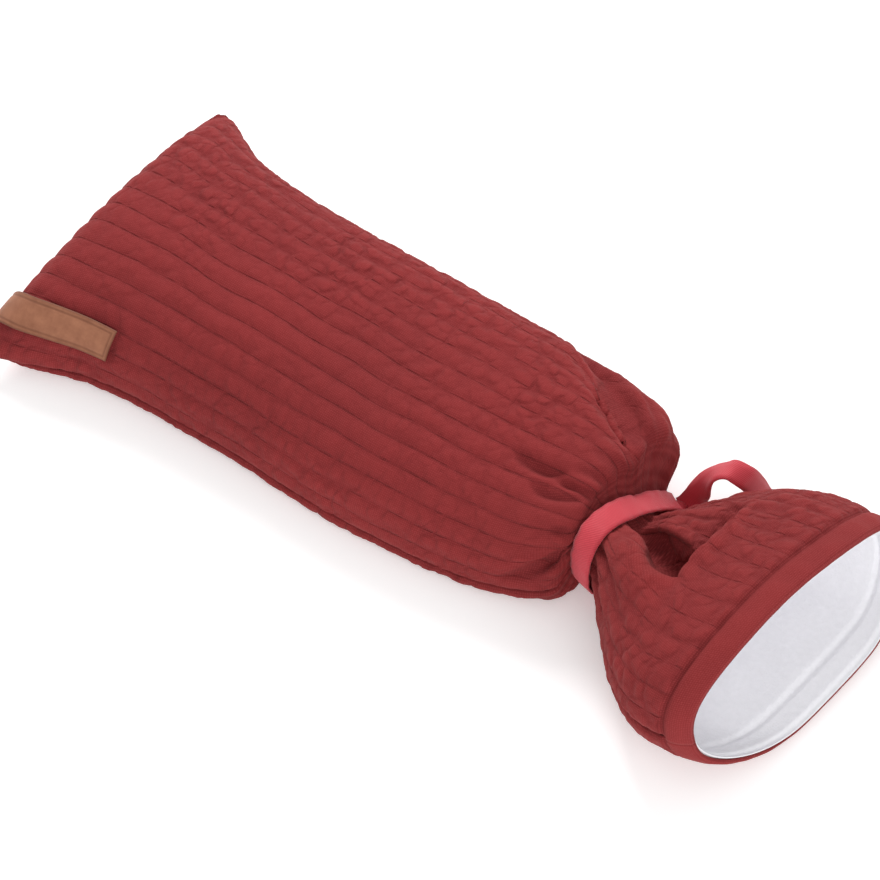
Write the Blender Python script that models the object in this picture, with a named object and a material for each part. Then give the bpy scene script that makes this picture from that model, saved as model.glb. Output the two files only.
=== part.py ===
"""A quilted cover for a hot water bottle, lying on a table with its neck tied and its mouth open.

Two padded cotton panels are sewn together along both long sides and across the closed end. A
ribbon draws the tube in to a neck, and past it the mouth flares round a white fleece lining.
The frame is in metres: +X runs from the closed end to the mouth, +Z is up, and the table is
z = 0, under the middle of the cover. Tables are in millimetres, as a maker would write them,
with stations counted along the cover from its closed seam.
"""

import math

import bmesh
import bpy
import numpy as np

MM = 0.001
OBJECT_NAME = "hot_water_bottle_cover"

# Driving sizes of the cover, in millimetres.
LYING_LENGTH = 392.0  # closed seam to the middle of the mouth
NECK_STATION = 295.0  # where the ribbon goes round
CLOTH = 3.0  # padded cotton, two layers of jersey with wadding between
FLEECE = 2.0  # the white lining
SEW_GAP = 0.3  # between pieces that are sewn face to face
CHANNELS = 16  # rows of quilting across a panel
PUFF = 1.5  # how far the wadding stands up between two rows
PUFF_POWER = 0.7  # under 1, so that the rows are narrow valleys between broad pads
NECK_PUFF = 0.3  # the share of it that is left under the ribbon
NECK_PUFF_RUN = 12.0  # and how far from the ribbon it comes back
HEM_FADE = 4.0  # the quilting dies away over this length before the hem
END_FADE = 8.0  # and over this length before the closed seam
HEM_WIDTH = 13.0  # turned-in band round the mouth
HEM_ROLL = 0.8  # how far that band stands proud
HEM_GROOVE = 1.0  # how far its stitching draws in
HEM_GROOVE_HALF_WIDTH = 1.6
END_RISE = 15.5  # the closed seam rises this far above the side seams in its middle
END_RISE_RUN = 36.0  # and is level with them from here
END_DIP = 3.0  # and its middle is drawn in this far between the two corners

LINING_START = 314.0  # the lining runs from here to the mouth
LINING_SETBACK = 2.0  # and ends this far inside it
LINING_GAP = 0.5  # all round, between fleece and padded cloth

RIBBON_WIDTH = 11.0
RIBBON_THICK = 1.0
RIBBON_CLEAR = 1.0  # between the ribbon and the crests of the cloth under it
RIBBON_OFFSET = 0.5  # the ribbon's middle is this far past the neck's station
KNOT_CENTRE = (301.2, 34.8, 6.4)
KNOT_SIZE = (8.5, 7.5, 9.0)

LABEL_FROM = 0.8  # the leather label runs from this station
LABEL_TO = 56.0  # to this one
LABEL_WIDTH = 15.0
LABEL_THICK = 1.2
LABEL_FROM_SEAM = 16.0  # near side seam to its lower edge, round the panel

# Cross-sections of the tube, from the closed seam to the mouth. Near and far are the heights of
# the two side seams, top and bottom those of the two panels in the middle, and a bottom below 0
# is a flat underside. Pinch is over 1 where the sides are drawn flat, as at the ears. Gather is
# the share of the inside that bunched cloth fills. Lean tips a section back, yaw turns it
# towards the near side, and scoop sets its two side seams back. Skew moves its crown to the near
# side.
SECTION_COLUMNS = (
    "station", "half_width", "side", "near", "far", "top", "bottom",
    "pinch", "gather", "lean", "yaw", "scoop", "skew",
)
SECTIONS = (
    (0.0, 86.0, 0.0, 8.0, 20.0, 30.0, 30.0, 1.50, 0.00, 0.00, 0.045, 0.0, 0.0),
    (4.0, 84.5, 0.0, 8.0, 20.0, 38.0, 22.0, 1.40, 0.00, 0.00, 0.045, 0.0, 0.0),
    (12.0, 82.0, 0.3, 8.0, 21.0, 46.0, 10.0, 1.20, 0.00, 0.00, 0.03, 0.0, 0.0),
    (25.0, 75.5, 0.2, 8.0, 22.0, 50.0, -2.0, 1.02, 0.00, 0.00, 0.01, 0.0, 0.0),
    (45.0, 66.5, -0.5, 8.0, 24.0, 53.0, -8.0, 0.90, 0.00, 0.00, 0.00, 0.0, 0.0),
    (80.0, 60.5, -1.0, 8.0, 26.0, 55.0, -10.0, 0.82, 0.00, 0.00, 0.00, 0.0, 0.0),
    (130.0, 59.0, -0.5, 8.0, 27.0, 55.0, -10.0, 0.80, 0.00, 0.00, 0.00, 0.0, 0.0),
    (176.0, 59.0, 0.5, 8.0, 27.0, 55.0, -10.0, 0.80, 0.00, 0.00, 0.00, 0.0, 0.0),
    (217.0, 58.5, 3.0, 8.0, 27.0, 54.0, -9.0, 0.82, 0.00, 0.00, 0.00, 0.0, 0.0),
    (240.0, 57.0, 5.0, 8.0, 27.0, 53.0, -8.0, 0.84, 0.05, 0.02, 0.03, 0.0, 0.0),
    (262.0, 53.5, 6.5, 9.0, 26.0, 53.0, -6.0, 0.86, 0.15, 0.06, 0.07, 0.0, 0.0),
    (277.0, 48.0, 7.8, 11.0, 25.5, 52.5, -3.0, 0.90, 0.35, 0.12, 0.08, 0.0, 0.05),
    (286.0, 42.5, 8.3, 14.5, 23.5, 48.0, 0.0, 0.95, 0.50, 0.14, 0.10, 0.0, 0.16),
    (289.6, 28.5, 4.5, 21.0, 13.0, 40.0, 4.0, 0.92, 0.54, 0.15, 0.17, 0.0, 0.42),
    (300.5, 28.5, 0.5, 22.0, 12.0, 39.5, 4.0, 0.92, 0.54, 0.16, 0.15, 0.0, 0.48),
    (306.0, 32.5, -0.5, 22.0, 15.0, 43.0, 1.5, 0.95, 0.42, 0.17, 0.13, 1.0, 0.36),
    (320.0, 45.0, -1.5, 21.0, 20.0, 52.5, -4.0, 0.93, 0.25, 0.21, 0.11, 2.0, 0.18),
    (342.0, 59.5, -4.5, 23.0, 25.5, 61.0, -7.0, 0.88, 0.05, 0.27, 0.12, 4.0, 0.06),
    (364.0, 68.5, -6.5, 29.0, 29.0, 67.5, -5.0, 0.88, 0.00, 0.32, 0.12, 6.0, 0.03),
    (379.0, 70.5, -6.0, 33.0, 29.0, 71.0, -3.0, 0.90, 0.00, 0.34, 0.12, 7.0, 0.06),
    (392.0, 68.0, -4.5, 35.0, 31.0, 72.0, -0.5, 0.90, 0.00, 0.345, 0.12, 8.0, 0.07),
)

# Creases of the cloth on both sides of the neck. Girth is 0 at the near seam, 1 at the far seam
# over the top, and 2 at the near seam again under the belly. A depth below 0 is a ridge.
FOLD_COLUMNS = (
    "from_station", "deepest_at", "to_station", "girth_from", "girth_to", "half_width", "depth"
)
FOLDS = (
    (220.0, 266.0, 297.0, 0.90, 0.62, 0.065, 11.0),
    (238.0, 268.0, 290.0, 0.43, 0.41, 0.055, 3.0),
    (262.0, 280.0, 292.0, 0.04, 0.24, 0.050, 4.0),
    (250.0, 276.0, 290.0, 1.30, 1.35, 0.060, 5.0),
    (245.0, 272.0, 290.0, 1.66, 1.60, 0.060, 5.0),
    (298.0, 330.0, 354.0, 0.49, 0.36, 0.065, 14.0),
    (298.0, 326.0, 352.0, 0.57, 0.56, 0.110, 6.0),
    (298.0, 318.0, 344.0, 0.33, 0.28, 0.060, -4.0),
    (300.0, 316.0, 350.0, 0.86, 0.84, 0.060, 5.0),
    (299.0, 314.0, 345.0, 1.35, 1.30, 0.060, 6.0),
    (299.0, 314.0, 345.0, 1.66, 1.70, 0.060, 6.0),
)

# The tie's two ends, from the knot: one arches up behind the neck, turns over and comes down to
# the table, and the other goes straight down to it. Points are station, distance to the far
# side, height, and the way that the ribbon's width lies, in degrees from the cover's length.
ARCHED_END = (
    (302.0, 35.2, 8.0, 180.0), (303.4, 37.0, 9.6, 184.0), (305.0, 39.8, 13.8, 190.0),
    (306.8, 41.1, 20.4, 168.0), (308.4, 42.8, 27.0, 134.0), (311.0, 45.2, 32.6, 98.0),
    (316.4, 48.0, 35.6, 78.0), (322.6, 50.8, 32.0, 78.0), (326.2, 55.4, 22.0, 86.0),
    (328.2, 60.0, 10.6, 90.0), (332.0, 62.8, 2.8, 90.0), (338.0, 63.9, 0.8, 90.0),
    (352.0, 65.5, 0.6, 90.0), (366.0, 65.0, 0.6, 90.0),
)
PLAIN_END = (
    (302.0, 35.2, 6.0, 0.0), (304.0, 37.4, 4.0, 20.0), (307.0, 40.8, 2.2, 55.0),
    (312.0, 44.5, 0.9, 85.0), (322.0, 47.0, 0.6, 90.0), (334.0, 48.5, 0.6, 90.0),
    (346.0, 49.0, 0.6, 90.0),
)
TIE_STEPS = 3  # pieces between two points of a tie's end

# Stations at which a panel has a row of points, outside and inside.
END_ROWS = (0.0, 1.2, 3.5, 7.0, 12.0, 18.0, 26.0, 36.0)
INNER_END_ROWS = (3.0, 5.0, 10.0, 20.0, 36.0)
BODY_END, BODY_ROWS, INNER_BODY_ROWS = 225.0, 14, 5
SHOULDER_END, SHOULDER_ROWS = 289.6, 11
BAND_END, BAND_ROWS = 301.0, 2
FLARE_END, FLARE_ROWS = 333.0, 6
FUNNEL_ROWS = 5
LABEL_ROWS = (0.0, 0.03, 0.08, 0.14, 0.22, 0.34, 0.48, 0.65, 0.82, 1.0)
COLUMNS = 2 * CHANNELS
BAND_COLUMNS = 32
ARC_SAMPLES = 241

# Base colour, roughness.
MATERIALS = {
    "quilted_cotton": ((0.258, 0.032, 0.032), 0.95),
    "fleece": ((0.72, 0.71, 0.72), 0.95),
    "ribbon": ((0.50, 0.045, 0.065), 0.55),
    "leather": ((0.32, 0.13, 0.07), 0.60),
}


def slopes_of(knots, values):
    """Tangents of a smooth curve through the knots that never overshoots them."""
    steps = np.diff(knots)
    rises = np.diff(values) / steps
    tangents = np.zeros(len(knots))
    tangents[0], tangents[-1] = rises[0], rises[-1]
    for i in range(1, len(knots) - 1):
        if rises[i - 1] * rises[i] > 0:
            before, after = 2 * steps[i] + steps[i - 1], steps[i] + 2 * steps[i - 1]
            tangents[i] = (before + after) / (before / rises[i - 1] + after / rises[i])
    return tangents


def smooth_through(knots, values, where):
    """Reads a smooth curve through the knots at the places asked for."""
    knots, values = np.asarray(knots, float), np.asarray(values, float)
    where = np.clip(np.asarray(where, float), knots[0], knots[-1])
    tangents = slopes_of(knots, values)
    i = np.clip(np.searchsorted(knots, where, side="right") - 1, 0, len(knots) - 2)
    step = knots[i + 1] - knots[i]
    t = (where - knots[i]) / step
    return (
        (2 * t**3 - 3 * t**2 + 1) * values[i]
        + (t**3 - 2 * t**2 + t) * step * tangents[i]
        + (3 * t**2 - 2 * t**3) * values[i + 1]
        + (t**3 - t**2) * step * tangents[i + 1]
    )


def section_at(station):
    """The section's named sizes at one station."""
    knots = [row[0] for row in SECTIONS]
    return {
        name: float(smooth_through(knots, [row[k] for row in SECTIONS], station))
        for k, name in enumerate(SECTION_COLUMNS)
    }


def fold_depth(station, girth):
    """How far the creases draw the cloth in at one station, for an array of girths."""
    total = np.zeros(len(girth))
    for row in FOLDS:
        fold = dict(zip(FOLD_COLUMNS, row))
        knots = (fold["from_station"], fold["deepest_at"], fold["to_station"])
        if not knots[0] < station < knots[2]:
            continue
        share = math.sin(0.5 * math.pi * float(np.interp(station, knots, (0.0, 1.0, 0.0)))) ** 2
        along = (station - knots[0]) / (knots[2] - knots[0])
        middle = fold["girth_from"] + along * (fold["girth_to"] - fold["girth_from"])
        away = ((girth - middle + 1.0) % 2.0 - 1.0) / fold["half_width"]
        total += fold["depth"] * share * np.exp(-(away**2))
    return total


def quilting(station, across):
    """How far the wadding puffs out between the rows of stitching, flat at the hem."""
    at_hem = np.clip((LYING_LENGTH - HEM_WIDTH - station) / HEM_FADE, 0.0, 1.0)
    at_end = np.clip(station / END_FADE, 0.0, 1.0)
    from_neck = (station - NECK_STATION) / NECK_PUFF_RUN
    at_neck = 1.0 - (1.0 - NECK_PUFF) * math.exp(-(from_neck**2))
    pad = np.abs(np.sin(math.pi * CHANNELS * across)) ** PUFF_POWER
    return PUFF * at_hem * at_end * at_neck * pad


def hem_roll(station):
    """The turned-in band is a soft roll with a groove where it is stitched down."""
    stitch = LYING_LENGTH - HEM_WIDTH
    groove = HEM_GROOVE * math.exp(-(((station - stitch) / HEM_GROOVE_HALF_WIDTH) ** 2))
    return HEM_ROLL * float(stitch < station) - groove


def arc(station, panel, inset=None, proud=None):
    """One panel's line at a station, from the near seam to the far seam, as many points.

    Without an inset it is the outside, quilted, or even where proud says how far it stands off
    the cloth. An inset of 0 is the inside of the padded cloth, and a larger one lies further in.
    Returns the share of the panel's width and the points.
    """
    section = section_at(station)
    outside = inset is None
    outward = 1.0 if panel == "front" else -1.0
    middle_seam = (section["near"] + section["far"]) / 2
    centre = (section["top"] + section["bottom"]) / 2
    half_width = section["half_width"]
    half_height = (section["top"] - section["bottom"]) / 2
    open_share = 1.0 if outside else 1.0 - section["gather"]
    floor = 0.0 if outside else CLOTH + inset
    if not outside:
        half_width = (half_width - CLOTH) * open_share - inset
        half_height = max((half_height - CLOTH) * open_share - inset, 0.0)
    height = outward * half_height + (centre - middle_seam) * open_share
    if not outside and station < END_RISE_RUN:
        parting = END_RISE * (1.0 - station / END_RISE_RUN) ** 2
        height = outward * max(outward * height, outward * parting)
    angle = np.linspace(0.0, math.pi, ARC_SAMPLES)
    tilt = (section["near"] - section["far"]) / 2 * np.cos(angle)
    seam_line = centre + (middle_seam + tilt - centre) * open_share
    y = section["side"] - half_width * np.cos(angle)
    crown = np.sin(angle) ** section["pinch"]
    if panel == "front":
        crown = crown * (1.0 + section["skew"] * np.cos(angle))
    z = seam_line + height * crown
    if panel == "back":
        z = np.maximum(z, np.minimum(floor, seam_line))
    across = np.concatenate([[0.0], np.cumsum(np.hypot(np.diff(y), np.diff(z)))])
    across /= across[-1]
    if outside:
        slope = np.stack([np.gradient(y), np.gradient(z)])
        slope /= np.maximum(np.linalg.norm(slope, axis=0), 1e-9)
        puff = quilting(station, across) + hem_roll(station) if proud is None else proud
        y = y - outward * slope[1] * puff
        z = z + outward * slope[0] * puff
    girth = across if panel == "front" else 2.0 - across
    depth = fold_depth(station, girth) * open_share if proud is None else 0.0
    radius = np.maximum(np.hypot(y - section["side"], z - centre), 1e-6)
    drawn_in = 1.0 - np.minimum(depth / radius, 0.8)
    y = section["side"] + (y - section["side"]) * drawn_in
    z = centre + (z - centre) * drawn_in + outward * SEW_GAP / 2
    if panel == "back":
        z = np.maximum(z, np.minimum(floor, seam_line - SEW_GAP / 2))
    share_out = np.abs(y - section["side"]) / section["half_width"]
    x = (
        station
        + section["yaw"] * (y - section["side"])
        - section["lean"] * (z - centre)
        - section["scoop"] * share_out**3
        + END_DIP * (1.0 - share_out**2) ** 2 * max(1.0 - station / END_RISE_RUN, 0.0) ** 2
    )
    return across, np.stack([x, y, np.maximum(z, 0.0)], axis=1)


def row_of(station, panel, columns, inset=None, proud=None, start=0.0, end=1.0):
    """One row of a skin: points at even steps of the panel's own width."""
    across, points = arc(station, panel, inset, proud)
    where = np.linspace(start, end, columns + 1)
    return np.stack([np.interp(where, across, points[:, k]) for k in range(3)], axis=1)


def ring_of(station, columns, inset=None, proud=None):
    """A closed row round both panels."""
    over = row_of(station, "front", columns, inset, proud)
    under = row_of(station, "back", columns, inset, proud)
    return np.concatenate([over, under[-2:0:-1]])


def neck_stations():
    """Rows through the creases on both sides of the neck, and straight ones under the ribbon."""
    shoulder = np.linspace(BODY_END, SHOULDER_END, SHOULDER_ROWS + 1)[1:]
    band = np.linspace(SHOULDER_END, BAND_END, BAND_ROWS + 1)[1:]
    flare = np.linspace(BAND_END, FLARE_END, FLARE_ROWS + 1)[1:]
    return np.concatenate([shoulder, band, flare])


def funnel_stations(end):
    """Rows between the neck's folds and the mouth, close together at the hem's stitching."""
    stitch = LYING_LENGTH - HEM_WIDTH
    funnel = np.linspace(FLARE_END, stitch - 2.5, FUNNEL_ROWS + 1)[1:]
    hem = (stitch, stitch + 2.5, stitch + HEM_WIDTH / 2, end)
    return np.concatenate([funnel, hem])


def skin_stations(end_rows, body_rows):
    """A panel's rows of points: close at the closed seam, and on both sides of the neck."""
    body = np.linspace(end_rows[-1], BODY_END, body_rows + 1)[1:]
    return np.concatenate([end_rows, body, neck_stations(), funnel_stations(LYING_LENGTH)])


def middle_of_cover():
    """The middle of the box round the cover, which its corners and its lip reach."""
    rows = [row_of(s, panel, COLUMNS) for s in (0.0, LYING_LENGTH) for panel in ("front", "back")]
    points = np.concatenate(rows)
    return (points.min(axis=0) + points.max(axis=0)) / 2


class Shell:
    """Collects points and faces, in millimetres, and makes one closed object of them."""

    def __init__(self):
        self.mesh = bmesh.new()

    def grid(self, rows, closed=False):
        """Adds a skin of quads through rows of points and returns its points."""
        verts = [[self.mesh.verts.new(point) for point in row] for row in rows]
        for lower, upper in zip(verts[:-1], verts[1:]):
            count = len(lower)
            for j in range(count if closed else count - 1):
                k = (j + 1) % count
                self.mesh.faces.new((lower[j], lower[k], upper[k], upper[j]))
        return verts

    def bridge(self, one, other, places_one=None, places_other=None):
        """Joins two edges with triangles, each next one to the nearer of the two next places."""
        places_one = range(len(one)) if places_one is None else places_one
        places_other = range(len(other)) if places_other is None else places_other
        i, j = 0, 0
        while i < len(one) - 1 or j < len(other) - 1:
            next_one = places_one[i + 1] if i < len(one) - 1 else math.inf
            next_other = places_other[j + 1] if j < len(other) - 1 else math.inf
            if next_one <= next_other:
                self.mesh.faces.new((one[i], one[i + 1], other[j]))
                i += 1
            else:
                self.mesh.faces.new((one[i], other[j + 1], other[j]))
                j += 1

    def between(self, one, other, places_one=None, places_other=None):
        """Closes two grids of points into a slab along their four edges."""
        for row in (0, -1):
            self.bridge(one[row], other[row])
        for column in (0, -1):
            edges = [[row[column] for row in grid] for grid in (one, other)]
            self.bridge(*edges, places_one, places_other)

    def object(self, name, material, collection):
        """Makes the object, with its faces outward and its place in its mesh."""
        bmesh.ops.recalc_face_normals(self.mesh, faces=self.mesh.faces)
        middle = middle_of_cover()
        for vert in self.mesh.verts:
            vert.co.x -= middle[0]
            vert.co.y -= middle[1]
            vert.co *= MM
        data = bpy.data.meshes.new(name)
        self.mesh.to_mesh(data)
        self.mesh.free()
        data.shade_smooth()
        data.materials.append(material)
        made = bpy.data.objects.new(name, data)
        collection.objects.link(made)
        return made


def make_panel(name, panel, material, collection):
    """One padded panel: its quilted face, its inside, and the cut edges that join them.

    The inside starts one thickness of cloth from the closed seam, and has fewer rows.
    """
    outside = skin_stations(END_ROWS, BODY_ROWS)
    inside = skin_stations(INNER_END_ROWS, INNER_BODY_ROWS)
    shell = Shell()
    outer = shell.grid([row_of(s, panel, COLUMNS) for s in outside])
    inner = shell.grid([row_of(s, panel, COLUMNS, 0.0) for s in inside])
    shell.between(outer, inner, outside, inside)
    return shell.object(name, material, collection)


def make_lining(material, collection):
    """The fleece funnel inside the mouth, one closed ring of cloth."""
    near_neck = [s for s in neck_stations() if s > LINING_START]
    stations = [*near_neck, *funnel_stations(LYING_LENGTH - LINING_SETBACK)]
    shell = Shell()
    skins = [
        shell.grid([ring_of(s, COLUMNS, inset) for s in stations], closed=True)
        for inset in (LINING_GAP, LINING_GAP + FLEECE)
    ]
    for row in (0, -1):
        edges = [[*skin[row], skin[row][0]] for skin in skins]
        shell.bridge(*edges)
    return shell.object("lining", material, collection)


def make_band(material, collection):
    """The ribbon round the neck."""
    clear = PUFF * NECK_PUFF + RIBBON_CLEAR
    middle = NECK_STATION + RIBBON_OFFSET
    edges = (middle - RIBBON_WIDTH / 2, middle + RIBBON_WIDTH / 2)
    shell = Shell()
    skins = [
        shell.grid([ring_of(s, BAND_COLUMNS, None, proud) for s in edges], closed=True)
        for proud in (clear, clear + RIBBON_THICK)
    ]
    for row in (0, -1):
        edges = [[*skin[row], skin[row][0]] for skin in skins]
        shell.bridge(*edges)
    return shell.object("tie", material, collection)


def make_ribbon_end(name, route, material, collection):
    """A flat ribbon along a route, which turns as the route says and never sinks into the table."""
    knots = np.arange(len(route), dtype=float)
    where = np.linspace(0.0, knots[-1], TIE_STEPS * (len(route) - 1) + 1)
    columns = [smooth_through(knots, [p[k] for p in route], where) for k in range(4)]
    line = np.stack(columns[:3], axis=1)
    turn = np.radians(columns[3])
    along = np.gradient(line, axis=0)
    along /= np.linalg.norm(along, axis=1)[:, None]
    wide = np.stack([np.cos(turn), np.sin(turn), np.zeros(len(turn))], axis=1)
    wide -= along * np.sum(wide * along, axis=1)[:, None]
    wide /= np.linalg.norm(wide, axis=1)[:, None]
    face = np.cross(along, wide)
    face *= np.where(face[-1, 2] < 0, -1.0, 1.0)
    shell = Shell()
    sides = []
    for height in (-RIBBON_THICK / 2, RIBBON_THICK / 2):
        edges = [line + face * height + wide * side for side in (-RIBBON_WIDTH / 2, RIBBON_WIDTH / 2)]
        rows = np.stack(edges, axis=1)
        rows[:, :, 2] = np.maximum(rows[:, :, 2], height + RIBBON_THICK / 2)
        sides.append(shell.grid(rows))
    shell.between(*sides)
    return shell.object(name, material, collection)


def make_knot(material, collection):
    """The small hard knot that both ends come out of."""
    shell = Shell()
    bmesh.ops.create_uvsphere(shell.mesh, u_segments=12, v_segments=8, radius=0.5)
    bmesh.ops.scale(shell.mesh, verts=shell.mesh.verts, vec=KNOT_SIZE)
    bmesh.ops.translate(shell.mesh, verts=shell.mesh.verts, vec=KNOT_CENTRE)
    return shell.object("knot", material, collection)


def make_tie(material, collection, cutters):
    """One ribbon: the band round the neck, its knot and its two free ends."""
    tie = make_band(material, collection)
    for piece in (
        make_knot(material, cutters),
        make_ribbon_end("arched_end", ARCHED_END, material, cutters),
        make_ribbon_end("plain_end", PLAIN_END, material, cutters),
    ):
        piece.hide_render = True
        piece.display_type = "WIRE"
        joined = tie.modifiers.new(piece.name, "BOOLEAN")
        joined.operation = "UNION"
        joined.solver = "EXACT"
        joined.object = piece
    return tie


def make_label(material, collection):
    """The leather patch on the near side, its end caught in the closed seam."""
    across, points = arc(LABEL_TO, "front")
    girth = np.sum(np.linalg.norm(np.diff(points, axis=0), axis=1))
    start = LABEL_FROM_SEAM / girth
    end = start + LABEL_WIDTH / girth
    stations = [LABEL_FROM + (LABEL_TO - LABEL_FROM) * share for share in LABEL_ROWS]
    shell = Shell()
    sides = [
        shell.grid([row_of(s, "front", 4, None, proud, start, end) for s in stations])
        for proud in (PUFF + SEW_GAP, PUFF + SEW_GAP + LABEL_THICK)
    ]
    shell.between(*sides)
    return shell.object("label", material, collection)


def make_material(name):
    colour, roughness = MATERIALS[name]
    material = bpy.data.materials.new(name)
    material.use_nodes = True
    surface = material.node_tree.nodes["Principled BSDF"]
    surface.inputs["Base Color"].default_value = (*colour, 1.0)
    surface.inputs["Roughness"].default_value = roughness
    surface.inputs["Metallic"].default_value = 0.0
    return material


def main():
    for leftover in list(bpy.data.objects):
        bpy.data.objects.remove(leftover, do_unlink=True)
    cover = bpy.data.collections.new(OBJECT_NAME)
    cutters = bpy.data.collections.new("cutters")
    for collection in (cover, cutters):
        bpy.context.scene.collection.children.link(collection)
    cotton = make_material("quilted_cotton")
    make_panel("panel_front", "front", cotton, cover)
    make_panel("panel_back", "back", cotton, cover)
    make_lining(make_material("fleece"), cover)
    make_tie(make_material("ribbon"), cover, cutters)
    make_label(make_material("leather"), cover)


if __name__ == "__main__":
    main()
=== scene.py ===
# %% [markdown]
# # A quilted hot water bottle cover
#
# The real cover is two panels of padded cotton jersey, sewn together into a long bag. Narrow
# rows of machine quilting run along it, a coral ribbon ties it shut at the neck, and past the
# ribbon the mouth flares open and shows a white fleece lining. A small leather label is caught
# in the seam at one corner. It lies on a white table, soft and a little slack.
#
# The frame that is loaded first holds the same cover as plain solids. Every piece below takes
# the place of one of them, keeps its size and place, and adds what makes it look like cloth.

# %% Load the frame
import math
import random

import bpy
import numpy as np
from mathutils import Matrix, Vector, noise
from mathutils.kdtree import KDTree


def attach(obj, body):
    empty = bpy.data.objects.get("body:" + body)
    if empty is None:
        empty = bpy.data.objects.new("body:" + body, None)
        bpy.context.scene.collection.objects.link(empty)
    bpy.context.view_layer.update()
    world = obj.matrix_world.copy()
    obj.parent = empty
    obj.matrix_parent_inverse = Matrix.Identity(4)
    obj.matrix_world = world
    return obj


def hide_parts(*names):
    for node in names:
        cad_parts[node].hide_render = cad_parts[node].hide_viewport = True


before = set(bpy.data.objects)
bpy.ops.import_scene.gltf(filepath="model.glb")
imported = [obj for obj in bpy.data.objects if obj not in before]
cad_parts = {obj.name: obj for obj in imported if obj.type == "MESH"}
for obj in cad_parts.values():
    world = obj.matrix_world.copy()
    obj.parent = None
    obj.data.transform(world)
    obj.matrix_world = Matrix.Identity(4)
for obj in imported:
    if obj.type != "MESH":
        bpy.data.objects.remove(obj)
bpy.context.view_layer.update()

# %% [markdown]
# ## Helpers for materials
#
# Colours are written as the sRGB hex values that a paint program shows. Blender's nodes want
# linear light, so one function turns them over. Another adds a node with its settings and its
# links in one call, which keeps each material short enough to read.

# %% Colour and node helpers
def linear(hex_colour):
    """An sRGB hex colour as linear RGBA."""
    channels = [int(hex_colour[k:k + 2], 16) / 255 for k in (1, 3, 5)]
    return (*[c / 12.92 if c <= 0.04045 else ((c + 0.055) / 1.055) ** 2.4 for c in channels], 1.0)


def add_node(tree, kind, inputs=None, **settings):
    """Adds a node. Each input, by its name or its number, is another node's socket or a value."""
    node = tree.nodes.new(kind)
    inputs = dict(inputs or {})
    for name, value in settings.items():
        if hasattr(node, name):
            setattr(node, name, value)
        else:
            inputs[name.replace("_", " ")] = value
    for name, value in inputs.items():
        if isinstance(value, bpy.types.NodeSocket):
            tree.links.new(value, node.inputs[name])
        else:
            node.inputs[name].default_value = value
    return node


def new_material(name):
    """A new material, with its node tree and its shader."""
    material = bpy.data.materials.new(name)
    material.use_nodes = True
    tree = material.node_tree
    surface = tree.nodes["Principled BSDF"]
    return material, tree, surface


def dress(pieces, material):
    """Gives each piece this material alone."""
    for piece in pieces:
        piece.data.materials.clear()
        piece.data.materials.append(material)


# %% [markdown]
# ## The shape of the cover, as a table of sections
#
# Cloth that lies like this is a tube whose section changes along its length: flat and wide at
# the closed seam, full in the body, drawn in at the ribbon, and open at the mouth. A loft
# through named sections gives that shape with few numbers. It could also be sculpted by hand,
# but a table can be read, checked against a ruler and changed one section at a time.
#
# Near and far are the heights of the two side seams, top and bottom those of the two panels in
# the middle. Pinch is over 1 where the sides are drawn flat. Lean tips a section back, yaw turns
# it towards the near side, scoop sets its side seams back, and skew moves its crown to the near
# side.

# %% Sizes, in millimetres
MM = 0.001
LYING_LENGTH = 392.0  # closed seam to the middle of the mouth
MIDDLE_STATION = 201.553  # the frame's origin lies under this station
NECK_STATION = 295.5  # the middle of the ribbon
RIBBON_WIDTH = 11.0
HEM_WIDTH = 13.0
END_DIP, END_DIP_RUN = 3.0, 36.0  # the closed seam is drawn in between its two corners
CHANNELS = 16  # rows of quilting across each panel

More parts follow.
